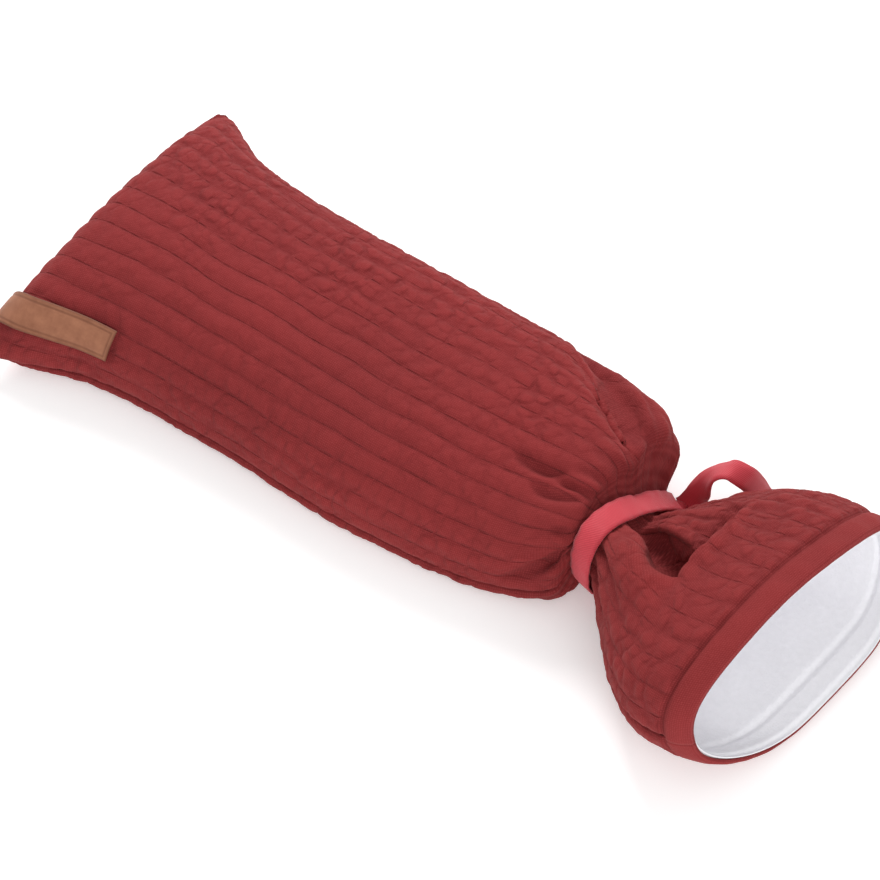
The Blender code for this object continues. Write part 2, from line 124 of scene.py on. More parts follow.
SECTION_COLUMNS = (
    "station", "half_width", "side", "near", "far", "top", "bottom",
    "pinch", "lean", "yaw", "scoop", "skew",
)
SECTIONS = (
    (0.0, 86.0, 0.0, 8.0, 20.0, 30.0, 30.0, 1.50, 0.00, 0.045, 0.0, 0.0),
    (4.0, 84.5, 0.0, 8.0, 20.0, 38.0, 22.0, 1.40, 0.00, 0.045, 0.0, 0.0),
    (12.0, 82.0, 0.3, 8.0, 21.0, 46.0, 10.0, 1.20, 0.00, 0.03, 0.0, 0.0),
    (25.0, 75.5, 0.2, 8.0, 22.0, 50.0, -2.0, 1.02, 0.00, 0.01, 0.0, 0.0),
    (45.0, 66.5, -0.5, 8.0, 24.0, 53.0, -8.0, 0.90, 0.00, 0.00, 0.0, 0.0),
    (80.0, 60.5, -1.0, 8.0, 26.0, 55.0, -10.0, 0.82, 0.00, 0.00, 0.0, 0.0),
    (130.0, 59.0, -0.5, 8.0, 27.0, 55.0, -10.0, 0.80, 0.00, 0.00, 0.0, 0.0),
    (176.0, 59.0, 0.5, 8.0, 27.0, 55.0, -10.0, 0.80, 0.00, 0.00, 0.0, 0.0),
    (217.0, 58.5, 3.0, 8.0, 27.0, 54.0, -9.0, 0.82, 0.00, 0.00, 0.0, 0.0),
    (240.0, 57.0, 5.0, 8.0, 27.0, 53.0, -8.0, 0.84, 0.02, 0.03, 0.0, 0.0),
    (262.0, 53.5, 6.5, 9.0, 26.0, 53.0, -6.0, 0.86, 0.06, 0.07, 0.0, 0.0),
    (277.0, 48.0, 7.8, 11.0, 25.5, 52.5, -3.0, 0.90, 0.12, 0.08, 0.0, 0.05),
    (286.0, 42.5, 8.3, 14.5, 23.5, 48.0, 0.0, 0.95, 0.14, 0.10, 0.0, 0.16),
    (289.6, 28.5, 4.5, 21.0, 13.0, 40.0, 4.0, 0.92, 0.15, 0.17, 0.0, 0.42),
    (300.5, 28.5, 0.5, 22.0, 12.0, 39.5, 4.0, 0.92, 0.16, 0.15, 0.0, 0.48),
    (306.0, 32.5, -0.5, 22.0, 15.0, 43.0, 1.5, 0.95, 0.17, 0.13, 1.0, 0.36),
    (320.0, 45.0, -1.5, 21.0, 20.0, 52.5, -4.0, 0.93, 0.21, 0.11, 2.0, 0.18),
    (342.0, 59.5, -4.5, 23.0, 25.5, 61.0, -7.0, 0.88, 0.27, 0.12, 4.0, 0.06),
    (364.0, 68.5, -6.5, 29.0, 29.0, 67.5, -5.0, 0.88, 0.32, 0.12, 6.0, 0.03),
    (379.0, 70.5, -6.0, 33.0, 29.0, 71.0, -3.0, 0.90, 0.34, 0.12, 7.0, 0.06),
    (392.0, 68.0, -4.5, 35.0, 31.0, 72.0, -0.5, 0.90, 0.345, 0.12, 8.0, 0.07),
)

# %% Smooth curves, and the section that they give
def smooth_through(knots, values, where):
    """Reads a monotone cubic through the knots at the places asked for."""
    knots, values = np.asarray(knots, float), np.asarray(values, float)
    where = np.clip(np.asarray(where, float), knots[0], knots[-1])
    steps = np.diff(knots)
    rises = np.diff(values) / steps
    tangents = np.zeros(len(knots))
    tangents[0], tangents[-1] = rises[0], rises[-1]
    for i in range(1, len(knots) - 1):
        if rises[i - 1] * rises[i] > 0:
            before, after = 2 * steps[i] + steps[i - 1], steps[i] + 2 * steps[i - 1]
            tangents[i] = (before + after) / (before / rises[i - 1] + after / rises[i])
    i = np.clip(np.searchsorted(knots, where, side="right") - 1, 0, len(knots) - 2)
    step = knots[i + 1] - knots[i]
    t = (where - knots[i]) / step
    return (
        (2 * t**3 - 3 * t**2 + 1) * values[i]
        + (t**3 - 2 * t**2 + t) * step * tangents[i]
        + (3 * t**2 - 2 * t**3) * values[i + 1]
        + (t**3 - t**2) * step * tangents[i + 1]
    )


def bell(distance, half_width):
    """1 at no distance, and next to nothing two half widths away."""
    return np.exp(-((distance / half_width) ** 2))


def step_up(values, low, high):
    """0 under low, 1 over high, and smooth between."""
    t = np.clip((values - low) / (high - low), 0.0, 1.0)
    return t * t * (3 - 2 * t)


def section_at(station):
    """The section's named sizes at one station."""
    knots = [row[0] for row in SECTIONS]
    return {
        name: float(smooth_through(knots, [row[k] for row in SECTIONS], station))
        for k, name in enumerate(SECTION_COLUMNS)
    }


# %% [markdown]
# ## The big folds
#
# Where the ribbon pulls the tube together the cloth has nowhere to go, so it folds inwards in
# a few deep pleats. These are wide enough to change the outline, so they are part of the tube
# itself: each row below draws the section in towards its middle, along a line that wanders
# round the tube. Girth is 0 at the near seam, 1 at the far seam over the top, and 2 at the near
# seam again, underneath.

# %% Fold table
FOLD_COLUMNS = (
    "from_station", "deepest_at", "to_station", "girth_from", "girth_to", "half_width", "depth"
)
FOLDS = (
    (220.0, 268.0, 298.0, 0.90, 0.62, 0.058, 12.0),
    (238.0, 268.0, 290.0, 0.43, 0.41, 0.055, 3.0),
    (262.0, 280.0, 292.0, 0.04, 0.24, 0.045, 4.0),
    (250.0, 276.0, 290.0, 1.30, 1.35, 0.060, 5.0),
    (245.0, 272.0, 290.0, 1.66, 1.60, 0.060, 5.0),
    (298.0, 331.0, 353.0, 0.495, 0.37, 0.050, 19.0),
    (298.0, 328.0, 352.0, 0.57, 0.56, 0.110, 5.0),
    (298.0, 318.0, 344.0, 0.33, 0.28, 0.060, -4.0),
    (300.0, 316.0, 350.0, 0.86, 0.84, 0.060, 5.0),
    (299.0, 314.0, 345.0, 1.35, 1.30, 0.060, 6.0),
    (299.0, 314.0, 345.0, 1.66, 1.70, 0.060, 6.0),
)
ARC_SAMPLES = 241


def fold_depth(station, girth):
    """How far the folds draw the cloth in at one station, for an array of girths."""
    total = np.zeros(len(girth))
    for row in FOLDS:
        fold = dict(zip(FOLD_COLUMNS, row))
        knots = (fold["from_station"], fold["deepest_at"], fold["to_station"])
        if not knots[0] < station < knots[2]:
            continue
        share = math.sin(0.5 * math.pi * float(np.interp(station, knots, (0.0, 1.0, 0.0)))) ** 2
        along = (station - knots[0]) / (knots[2] - knots[0])
        middle = fold["girth_from"] + along * (fold["girth_to"] - fold["girth_from"])
        away = (girth - middle + 1.0) % 2.0 - 1.0
        total += fold["depth"] * share * bell(away, fold["half_width"])
    return total


# %% One panel's bare surface, before any quilting
TABLE_CLEAR = 1.5  # the quilting stands this far down from the cloth's underside
TABLE_BEND = 2.0  # how softly the cloth bends where it leaves the table
MOST_DRAWN_IN = 0.8  # of the way to the middle, however deep the folds are


def lie_on(z, floor, angle):
    """Raises cloth to a floor, with a soft bend where it leaves it, but for its seams."""
    raised = floor + (z - floor + np.hypot(z - floor, TABLE_BEND)) / 2
    return z + (raised - z) * np.minimum(6.0 * np.sin(angle), 1.0)


def bare_row(station, panel, where):
    """Points of one panel at a station, at shares of its width, and that width."""
    section = section_at(station)
    outward = 1.0 if panel == "front" else -1.0
    seams = (section["near"] + section["far"]) / 2
    centre = (section["top"] + section["bottom"]) / 2
    half_height = (section["top"] - section["bottom"]) / 2
    angle = np.linspace(0.0, math.pi, ARC_SAMPLES)
    seam_line = seams + (section["near"] - section["far"]) / 2 * np.cos(angle)
    y = section["side"] - section["half_width"] * np.cos(angle)
    crown = np.sin(angle) ** section["pinch"]
    if panel == "front":
        crown = crown * (1.0 + section["skew"] * np.cos(angle))
    z = seam_line + (outward * half_height + centre - seams) * crown
    if panel == "back":
        z = lie_on(z, np.minimum(TABLE_CLEAR, seam_line), angle)
    across = np.concatenate([[0.0], np.cumsum(np.hypot(np.diff(y), np.diff(z)))])
    width = across[-1]
    across /= width
    girth = across if panel == "front" else 2.0 - across
    radius = np.maximum(np.hypot(y - section["side"], z - centre), 1e-6)
    drawn_in = 1.0 - np.minimum(fold_depth(station, girth) / radius, MOST_DRAWN_IN)
    y = section["side"] + (y - section["side"]) * drawn_in
    z = centre + (z - centre) * drawn_in
    if panel == "back":
        z = lie_on(z, np.minimum(TABLE_CLEAR, seam_line), angle)
    share_out = np.abs(y - section["side"]) / section["half_width"]
    x = (
        station
        - MIDDLE_STATION
        + section["yaw"] * (y - section["side"])
        - section["lean"] * (z - centre)
        - section["scoop"] * share_out**3
        + END_DIP * (1.0 - share_out**2) ** 2 * max(1.0 - station / END_DIP_RUN, 0.0) ** 2
    )
    points = np.stack([np.interp(where, across, along) for along in (x, y, z)], axis=1)
    return points, width


def bare_surface(stations, shares, panel):
    """A grid of points over one panel, and the panel's width at each station."""
    rows = [bare_row(float(s), panel, shares) for s in stations]
    return np.array([row[0] for row in rows]), np.array([row[1] for row in rows])


def normals_of(grid):
    """Unit normals of a grid of points, by finite differences."""
    normals = np.cross(np.gradient(grid, axis=0), np.gradient(grid, axis=1))
    return normals / np.maximum(np.linalg.norm(normals, axis=2, keepdims=True), 1e-9)


# %% [markdown]
# ## Creases
#
# On top of the big folds the cloth creases. A crease is drawn here as a short path over the
# panel, with a strength at each point, a half width and a depth. The distance of every point of
# the cloth to that path gives a soft valley, or a ridge where the depth is negative. A sharp
# fold edge is a ridge beside a valley. This is how one would draw with a crease brush when
# sculpting, but every stroke stays a row of a table.

# %% Creases of the upper panel: half width, depth, then station, share across and strength
FRONT_CREASES = (
    # The long flap that runs down from the far side to the ribbon.
    (4.4, -2.8, (
        (222, .88, 0), (236, .845, .6), (249, .80, .9),
        (265, .74, 1), (279, .70, 1), (292, .68, .5),
    )),
    (3.8, 5.2, (
        (224, .915, 0), (238, .885, .7), (250, .85, 1),
        (266, .795, 1), (278, .755, 1), (292, .725, .6),
    )),
    (2.4, -1.6, ((254, .88, 0), (266, .84, 1), (276, .805, 1), (290, .77, .7))),
    (1.6, 1.8, ((256, .90, 0), (268, .862, 1), (278, .83, 1), (291, .80, .8))),
    (3.2, -1.2, ((260, .95, 0), (275, .915, 1), (290, .86, .8))),
    (2.4, 1.2, ((262, .98, 0), (276, .955, 1), (290, .91, .8))),
    # Dents in front of the ribbon.
    (2.6, 3.4, ((241, .45, 0), (248, .425, .9), (259, .42, 1), (268, .44, 0))),
    (1.8, -1.4, ((249, .395, 0), (259, .385, 1), (268, .39, 0))),
    (2.0, 3.0, ((255, .37, 0), (265, .355, 1), (274, .362, .8), (283, .385, 0))),
    (1.8, 3.0, ((264, .415, 0), (272, .405, 1), (282, .412, 1), (291, .43, .5))),
    (2.4, -1.8, ((260, .395, 0), (270, .382, 1), (280, .395, .6), (289, .405, 0))),
    (2.2, 2.0, ((268, .47, 0), (278, .475, 1), (291, .50, .8))),
    (2.4, -1.4, ((264, .445, 0), (276, .442, 1), (288, .46, .6))),
    (2.2, 1.6, ((266, .535, 0), (279, .55, .8), (291, .56, .6))),
    (3.0, 4.2, ((264, .055, 0), (275, .09, .8), (283, .145, 1), (291, .215, .8))),
    (2.8, -2.0, ((266, .12, 0), (276, .155, .8), (286, .21, .6))),
    (2.2, 1.8, ((274, .25, 0), (283, .27, .8), (291, .30, .7))),
    # Behind the ribbon: the deep pocket, its soft lip and the pleats beside it.
    (4.6, 6.0, (
        (300, .52, .4), (309, .495, .7), (318, .445, 1),
        (327, .40, 1), (335, .39, 1), (343, .41, 0),
    )),
    (3.0, 4.5, (
        (334, .41, .6), (339, .45, 1), (340.5, .50, 1),
        (340, .60, .9), (338.5, .68, .7), (337, .75, 0),
    )),
    (3.0, -3.0, (
        (330, .30, 0), (336, .335, .8), (341, .355, 1),
        (346, .395, 1), (347, .54, 1), (343, .74, 0),
    )),
    (3.4, 4.0, ((302, .53, .3), (313, .49, .8), (326, .485, 1), (336, .475, .7), (342, .46, 0))),
    (5.0, -2.5, ((304, .64, .3), (316, .60, 1), (328, .57, 1), (335, .57, 0))),
    (6.0, -3.0, ((299, .36, .3), (311, .365, 1), (326, .335, 1), (338, .315, .5), (350, .30, 0))),
    (2.6, 2.6, ((300, .62, .5), (314, .60, 1), (330, .575, .8), (343, .56, 0))),
    (3.6, 2.6, ((299, .70, .5), (315, .73, 1), (332, .765, .8), (350, .79, 0))),
    (2.4, 1.8, ((299, .25, .6), (312, .235, 1), (330, .205, .5), (345, .19, 0))),
    (2.4, 1.8, ((299, .14, .6), (310, .115, 1), (325, .095, .4), (338, .08, 0))),
)
BACK_CREASES = (
    (3.0, 3.5, ((250, .20, 0), (268, .235, .8), (290, .28, .8))),
    (2.6, 3.0, ((256, .55, 0), (272, .56, .9), (290, .55, .8))),
    (3.0, 3.5, ((248, .82, 0), (266, .79, .9), (290, .72, .8))),
    (3.0, 3.5, ((299, .22, .7), (315, .20, 1), (345, .17, 0))),
    (2.6, 3.0, ((299, .52, .7), (318, .51, 1), (340, .50, 0))),
    (3.0, 3.5, ((299, .78, .7), (316, .81, 1), (342, .84, 0))),
)
PATH_STEPS = 6  # pieces between two points of a crease


def carve(depth_map, stations, shares, widths, creases):
    """Adds each crease's valley to a map of depths over the panel."""
    for half_width, depth, path in creases:
        knots = np.arange(len(path), dtype=float)
        where = np.linspace(0.0, knots[-1], PATH_STEPS * (len(path) - 1) + 1)
        s, v, strength = (smooth_through(knots, [p[k] for p in path], where) for k in range(3))
        a = v * np.interp(s, stations, widths)
        reach = 4 * half_width
        rows = np.flatnonzero((stations > s.min() - reach) & (stations < s.max() + reach))
        at_s = stations[rows][:, None]
        at_a = shares[None, :] * widths[rows][:, None]
        nearest = np.full(at_a.shape, np.inf)
        weight = np.zeros(at_a.shape)
        for k in range(len(s) - 1):
            step_s, step_a = s[k + 1] - s[k], a[k + 1] - a[k]
            t = ((at_s - s[k]) * step_s + (at_a - a[k]) * step_a) / (step_s**2 + step_a**2)
            t = np.clip(t, 0.0, 1.0)
            away = np.hypot(at_s - s[k] - t * step_s, at_a - a[k] - t * step_a)
            closer = away < nearest
            nearest = np.where(closer, away, nearest)
            weight = np.where(closer, strength[k] + t * (strength[k + 1] - strength[k]), weight)
        depth_map[rows] += depth * weight * bell(nearest, half_width)
    return depth_map


# %% [markdown]
# ## Gathers at the ribbon
#
# A ribbon that is pulled tight also makes many small gathers, which start under it and die out
# after a centimetre or two on both sides. They repeat, so a loop makes them, each a little
# longer, deeper and further along than the last by a seeded random number. The seed keeps the
# cloth the same every time the script runs.

# %% Small gathers on both sides of the ribbon
GATHER_PITCH = 6.5  # millimetres between two gathers, round the neck
BAND_EDGES = (NECK_STATION - RIBBON_WIDTH / 2, NECK_STATION + RIBBON_WIDTH / 2)


def gathers(seed, neck_width):
    """Rows for carve(): short creases that fan out from both edges of the ribbon."""
    chance = random.Random(seed)
    rows = []
    count = int(neck_width / GATHER_PITCH)
    for k in range(count):
        share = (k + 0.5 + chance.uniform(-0.3, 0.3)) / count
        for edge, direction in zip(BAND_EDGES, (-1, 1)):
            length = chance.uniform(9.0, 24.0)
            turn = chance.uniform(-0.015, 0.015)
            path = (
                (edge - direction * 2.0, share, 1.0),
                (edge + direction * length * 0.45, share + turn, 0.8),
                (edge + direction * length, share + 2 * turn, 0.0),
            )
            rows.append((chance.uniform(1.2, 1.9), chance.uniform(0.8, 1.8), path[::direction]))
    return rows


# %% [markdown]
# ## Quilting
#
# The quilting machine sews rows 11 mm apart through jersey, wadding and jersey. The wadding
# pushes each strip between two rows up into a pad. The thread also draws the cloth together
# lengthwise, so each pad breaks up into small puckers, like cobbles. The rows are a formula that
# wanders a little, as soft cloth does under the needle. The puckers are borders at seeded random
# places along each pad, with a net of finer wrinkles over them. They are strongest over the far
# half and past the ribbon, and a slow noise makes them come and go.

# %% Height of the pads and puckers over a panel
PUFF = 1.2
PUFF_POWER = 0.62  # under 1: broad pads, with a narrow valley at the stitching
LANE_WANDER = 0.16  # of the width of a pad
PUCKER_PITCH = (4.5, 11.0)  # shortest and longest cobble
PUCKER_DEPTH = 0.70
PUCKER_HALF_WIDTH = 1.2
PUCKER_SLANT = 4.2  # how far a pucker leans over, from one row of stitching to the next
SEAM_GROOVE, SEAM_GROOVE_HALF_WIDTH = 1.7, 1.5


def noise_of(x, y, z):
    """Smooth noise at each point of three arrays, about -1 to 1."""
    places = zip(x.ravel(), y.ravel(), z.ravel())
    return np.array([noise.noise(Vector(place)) for place in places]).reshape(x.shape)


def noise_map(points, size):
    """Smooth noise over a grid of points, with hills about this far apart."""
    return noise_of(*np.moveaxis(points / size, 2, 0))


def pucker_map(stations, lane, seed):
    """How deep the cloth puckers at each point, 0 to 1. Lane counts the pads across the panel."""
    chance = random.Random(seed)
    grid = np.zeros(lane.shape)
    for channel in range(CHANNELS):
        columns = np.flatnonzero(np.any((lane >= channel) & (lane < channel + 1), axis=0))
        place = chance.uniform(0.0, 8.0)
        while place < stations[-1]:
            slant = chance.gauss(0.0, PUCKER_SLANT)
            bow = chance.uniform(-1.6, 1.6)
            side = chance.choice(("near", "far", "both", "both"))
            strength = chance.uniform(0.35, 1.0)
            rows = np.flatnonzero(np.abs(stations - place) < 12.0)
            across = lane[np.ix_(rows, columns)] - channel
            line = place + slant * (across - 0.5) + bow * np.sin(math.pi * across)
            near, far = np.clip(1.0 - across, 0.0, 1.0), np.clip(across, 0.0, 1.0)
            fade = {"near": near**0.8, "far": far**0.8, "both": 1.0}[side]
            away = stations[rows][:, None] - line
            valley = strength * fade * bell(away, PUCKER_HALF_WIDTH) * ((across >= 0) & (across <= 1))
            grid[np.ix_(rows, columns)] = np.maximum(grid[np.ix_(rows, columns)], valley)
            place += chance.uniform(*PUCKER_PITCH)
    return grid


# %% [markdown]
# ## The two panels
#
# Each panel starts as one grid from `primitive_grid_add`, with a face every millimetre and a
# bit, and each of its points is moved to its place on the tube. Then the relief is added along
# the normals: pads, puckers, creases, gathers, the groove of the side seams and the soft roll
# of the hem. A Solidify modifier gives the cloth its thickness last. Blender's cloth simulation
# would also wrinkle the tube, but it wouldn't put the folds where this cover has them.

# %% The tube with its folds and creases, which the lining and the label follow too
PANEL_CREASES = {"front": (FRONT_CREASES, 11), "back": (BACK_CREASES, 12)}
SLACK = 0.9  # how far the cloth heaves, slowly, where nothing pulls it
NECK_REACH = 8.0  # how far from the ribbon's middle it presses the cloth smooth


def creased_tube(panel, stations, shares):
    """The bare surface, its outward normals, its widths, and how far each point is raised."""
    creases, seed = PANEL_CREASES[panel]
    bare, widths = bare_surface(stations, shares, panel)
    outward = normals_of(bare) * (1.0 if panel == "front" else -1.0)
    s, v = stations[:, None], shares[None, :]
    from_seam = np.minimum(v, 1.0 - v) * widths[:, None]
    _, neck_width = bare_row(NECK_STATION, panel, shares)
    sunk = carve(np.zeros(from_seam.shape), stations, shares, widths, creases)
    sunk = carve(sunk, stations, shares, widths, gathers(seed + 1, neck_width))
    near_neck = bell(s - NECK_STATION, NECK_REACH)
    heave = SLACK * noise_map(bare + 90.0, 60.0) * step_up(s, 0.0, 40.0) * (1.0 - near_neck)
    return bare, outward, widths, heave - sunk * np.clip(from_seam / 3.0, 0.0, 1.0)


# %% How high the quilting of a panel stands
WRINKLE_SIZE = (6.5, 10.0)  # of the net of fine wrinkles, along and across
WRINKLE_LINE, WRINKLE_DEPTH = 0.12, 0.55


def pucker_strength(s, v, slow):
    """How strongly the cloth puckers: more over the far half, by the near seam, past the ribbon."""
    busier = 0.60 * step_up(v, 0.42, 0.72) + 0.30 * step_up(-v, -0.26, -0.12)
    busier = np.maximum(busier, 0.40 * step_up(s, 298.0, 322.0))
    return np.clip(0.42 + busier + 0.45 * slow, 0.15, 1.0)


def quilting(panel, bare, stations, v, a, from_seam, fine):
    """The height of pads that nothing presses, each point's lane, and the puckers' strength."""
    _, seed = PANEL_CREASES[panel]
    s = stations[:, None]
    slow = noise_map(bare, 34.0)
    away_from_seam = np.clip(from_seam / 9.0, 0.0, 1.0)
    lane = CHANNELS * v + LANE_WANDER * noise_map(bare + 30.0, 26.0) * away_from_seam
    flat_s = np.broadcast_to(s, a.shape)
    wrinkles = noise_of(flat_s / WRINKLE_SIZE[0], a / WRINKLE_SIZE[1], np.full(a.shape, seed * 1.7))
    strength = pucker_strength(s, v, slow)
    puckers = np.maximum(pucker_map(stations, lane, seed), WRINKLE_DEPTH * bell(wrinkles, WRINKLE_LINE))
    pads = np.abs(np.sin(math.pi * lane)) ** PUFF_POWER
    height = PUFF * pads * (1.0 + 0.30 * slow + 0.22 * fine) * (1.0 - PUCKER_DEPTH * strength * puckers)
    return height, lane, strength


# %% Points of one finished panel
ROWS, COLUMNS = 340, 8 * CHANNELS
HEM_STITCH = LYING_LENGTH - HEM_WIDTH
HEM_ROLL, HEM_GROOVE, HEM_GROOVE_HALF_WIDTH = 1.0, 1.5, 1.1
HEM_EDGE = 1.4  # radius of the hem's turned edge
CORNER = 7.0  # radius of the two corners of the closed end
LABEL_PRESS = 0.45  # how much of the pads the label flattens
LABEL_FROM, LABEL_TO = 0.8, 56.0
LABEL_WIDTH, LABEL_THICK, LABEL_FROM_SEAM = 15.0, 1.2, 16.0


def round_corners(points, along, across):
    """Draws the corner of each square corner in to an arc, over the cloth that lies there."""
    p, q = np.clip(1.0 - along / CORNER, 0.0, 1.0), np.clip(1.0 - across / CORNER, 0.0, 1.0)
    shift_along = CORNER * p * (1.0 - np.sqrt(1.0 - q**2 / 2))
    shift_across = CORNER * q * (1.0 - np.sqrt(1.0 - p**2 / 2))
    tangents = [np.gradient(points, axis=k) for k in (0, 1)]
    tangents = [d / np.maximum(np.linalg.norm(d, axis=2, keepdims=True), 1e-9) for d in tangents]
    half = points.shape[1] // 2
    tangents[1][:, half:] *= -1.0
    return points + tangents[0] * shift_along[:, :, None] + tangents[1] * shift_across[:, :, None]


def hem_height(s, fine):
    """The roll of the hem, less the groove of its stitching and its turned edge."""
    along_hem = np.clip((s - HEM_STITCH) / HEM_WIDTH, 0.0, 1.0)
    roll = HEM_ROLL * np.sin(math.pi * along_hem) ** 0.5 * (1.0 + 0.35 * fine)
    groove = HEM_GROOVE * bell(s - HEM_STITCH, HEM_GROOVE_HALF_WIDTH)
    over_edge = np.clip(1.0 - (LYING_LENGTH - s) / HEM_EDGE, 0.0, 1.0)
    return roll - groove - HEM_EDGE * (1.0 - np.sqrt(1.0 - over_edge**2))


def panel_points(panel):
    """The finished face of a panel, what its material reads at each point, and its flat cloth."""
    stations = np.linspace(0.0, LYING_LENGTH, ROWS + 1)
    shares = np.linspace(0.0, 1.0, COLUMNS + 1)
    bare, outward, widths, raised = creased_tube(panel, stations, shares)
    s, v = stations[:, None], shares[None, :]
    a = v * widths[:, None]
    from_seam = np.minimum(a, widths[:, None] - a)
    fine = noise_map(bare + 50.0, 9.0)
    height, lane, strength = quilting(panel, bare, stations, v, a, from_seam, fine)
    if panel == "front":
        inside = np.minimum(a - LABEL_FROM_SEAM, LABEL_FROM_SEAM + LABEL_WIDTH - a)
        height *= 1.0 - LABEL_PRESS * step_up(np.minimum(inside, LABEL_TO - s), -1.5, 0.5)

    at_hem = step_up(s, HEM_STITCH - 2.0, HEM_STITCH)
    near_neck = bell(s - NECK_STATION, NECK_REACH)
    pulled_flat = 0.7 * step_up(s, 238.0, 262.0) * step_up(-s, -302.0, -296.0) * step_up(v, 0.72, 0.84)
    free = (1.0 - at_hem) * (1.0 - pulled_flat) * step_up(s, 0.0, 5.0)
    height *= free * (1.0 - 0.85 * near_neck)
    height += 0.25 * fine + 0.10 * noise_map(bare + 70.0, 3.5) + raised + hem_height(s, fine)
    at_side = bell(from_seam, SEAM_GROOVE_HALF_WIDTH)
    height -= SEAM_GROOVE * at_side * step_up(s, 0.0, 4.0) * (1.0 - at_hem)

    points = round_corners(bare + outward * height[:, :, None], s, from_seam)
    points[:, :, 2] = np.maximum(points[:, :, 2], 0.05)
    # Painted light and shade: this number rises on the pad tops and falls in the valleys, and the
    # material makes the cloth's colour lighter and darker with it.
    shade = np.clip(0.5 + 0.35 * (height - PUFF * 0.6), 0.0, 1.0)
    quilted = free * (1.0 - 0.6 * near_neck)
    painted = {"relief_shade": shade, "lane": lane, "quilted": quilted, "pucker": strength * quilted}
    return points, painted, np.stack([np.broadcast_to(s, a.shape), a], axis=2) * MM


# %% A grid primitive, moved onto points
def cloth_from_grid(name, points, flat_place, turn_over=False):
    """A grid of faces whose points are given, in millimetres, with its flat cloth as its UVs."""
    rows, columns = points.shape[0] - 1, points.shape[1] - 1
    bpy.ops.object.select_all(action="DESELECT")
    bpy.ops.mesh.primitive_grid_add(x_subdivisions=columns, y_subdivisions=rows, size=2.0)
    cloth = bpy.context.object
    cloth.name = name
    mesh = cloth.data
    mesh.name = name
    start = np.empty(len(mesh.vertices) * 3)
    mesh.vertices.foreach_get("co", start)
    start = start.reshape(-1, 3)
    j = np.rint((start[:, 0] + 1) / 2 * columns).astype(int)
    i = np.rint((start[:, 1] + 1) / 2 * rows).astype(int)
    mesh.vertices.foreach_set("co", (points[i, j] * MM).ravel())
    corner = np.empty(len(mesh.loops), dtype=np.int32)
    mesh.loops.foreach_get("vertex_index", corner)
    mesh.uv_layers[0].data.foreach_set("uv", flat_place[i, j][corner].astype(np.float32).ravel())
    if turn_over:
        mesh.flip_normals()
    mesh.shade_smooth()
    mesh.update()
    return cloth, i, j


def thicken(cloth, thickness_mm, shares=None):
    """Gives a sheet its thickness, on the side away from its face, or a share of it by point."""
    solidify = cloth.modifiers.new("thickness", "SOLIDIFY")
    solidify.thickness = thickness_mm * MM
    solidify.offset = -1.0
    solidify.use_even_offset = False
    if shares is not None:
        group = cloth.vertex_groups.new(name="thickness")
        for share in np.unique(shares):
            group.add(np.flatnonzero(shares == share).tolist(), float(share), "REPLACE")
        solidify.vertex_group = group.name
    bpy.context.view_layer.objects.active = cloth
    bpy.ops.object.modifier_apply(modifier=solidify.name)


def paint(cloth, name, values):
    """Stores one number for each point of a cloth, for its material to read."""
    attribute = cloth.data.attributes.new(name, "FLOAT", "POINT")
    attribute.data.foreach_set("value", values.astype(np.float32))


# %% Make both panels
PADDED_CLOTH = 2.4  # jersey, wadding and jersey, in millimetres
STITCH_SQUEEZE, STITCH_REACH = 0.5, 1.6  # at the hem's stitching
LIP_SQUEEZE = 0.62


def squeeze(stations):
    """The share of a cloth's thickness that is left: less at the stitching and at the lip."""
    at_stitch = STITCH_SQUEEZE * bell(stations - HEM_STITCH, STITCH_REACH)
    at_lip = LIP_SQUEEZE * step_up(stations, LYING_LENGTH - 4.0, LYING_LENGTH - 0.5)
    return 1.0 - at_stitch - at_lip


panels = []
for panel in PANEL_CREASES:
    points, painted, flat_place = panel_points(panel)
    cloth, i, j = cloth_from_grid(f"cloth_{panel}", points, flat_place, turn_over=panel == "front")
    for name, values in painted.items():
        paint(cloth, name, values[i, j])
    thicken(cloth, PADDED_CLOTH, squeeze(np.linspace(0.0, LYING_LENGTH, ROWS + 1))[i].round(3))
    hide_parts(f"panel_{panel}")
    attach(cloth, "root")
    panels.append(cloth)
    print(cloth.name, "faces:", len(cloth.data.polygons))

# %% [markdown]
# ## Quilted jersey
#
# Cotton jersey is knitted, matt and a little fuzzy. Seen from a step away it is one rust red. Its
# colour carries a painted highlight on the pad tops, and painted shade in the stitched valleys and
# between the cobbles.
# A line of stitching is under a millimetre wide, finer than the faces of the mesh, so the
# material draws it: each point knows its lane, the number of pads from the near seam, and where
# that is a whole number runs a row of stitching. A Voronoi pattern over the lanes gives the
# puckers their crisp borders in the same way. The knitted loops are drawn 0.9 mm apart, a
# little coarser than the real ones.

# %% What the cover's material reads
LOOP_SPACING = 0.0009
WAVE_PERIOD = 0.314  # a Wave texture repeats at this distance over its scale
COBBLE = 0.0062  # metres, the usual length of a cobble
COBBLES_ACROSS = 1.5  # and how many lie across a pad
STITCH_LINE = 0.075  # half width of a stitched valley, in lanes

jersey, tree, surface = new_material("quilted_cotton_jersey")
flat_cloth = add_node(tree, "ShaderNodeUVMap", uv_map="UVMap").outputs["UV"]
place = add_node(tree, "ShaderNodeTexCoord").outputs["Object"]
relief_shade, lane, quilted, pucker = (
    add_node(tree, "ShaderNodeAttribute", attribute_name=name).outputs["Fac"]
    for name in ("relief_shade", "lane", "quilted", "pucker")
)
fuzz_height, mottle, stir, patches = (
    add_node(
        tree, "ShaderNodeTexNoise", {"Vector": place}, Scale=scale, Detail=detail, Roughness=0.6
    ).outputs["Fac"]
    for scale, detail in ((900.0, 3.0), (60.0, 4.0), (70.0, 2.0), (130.0, 2.0))
)

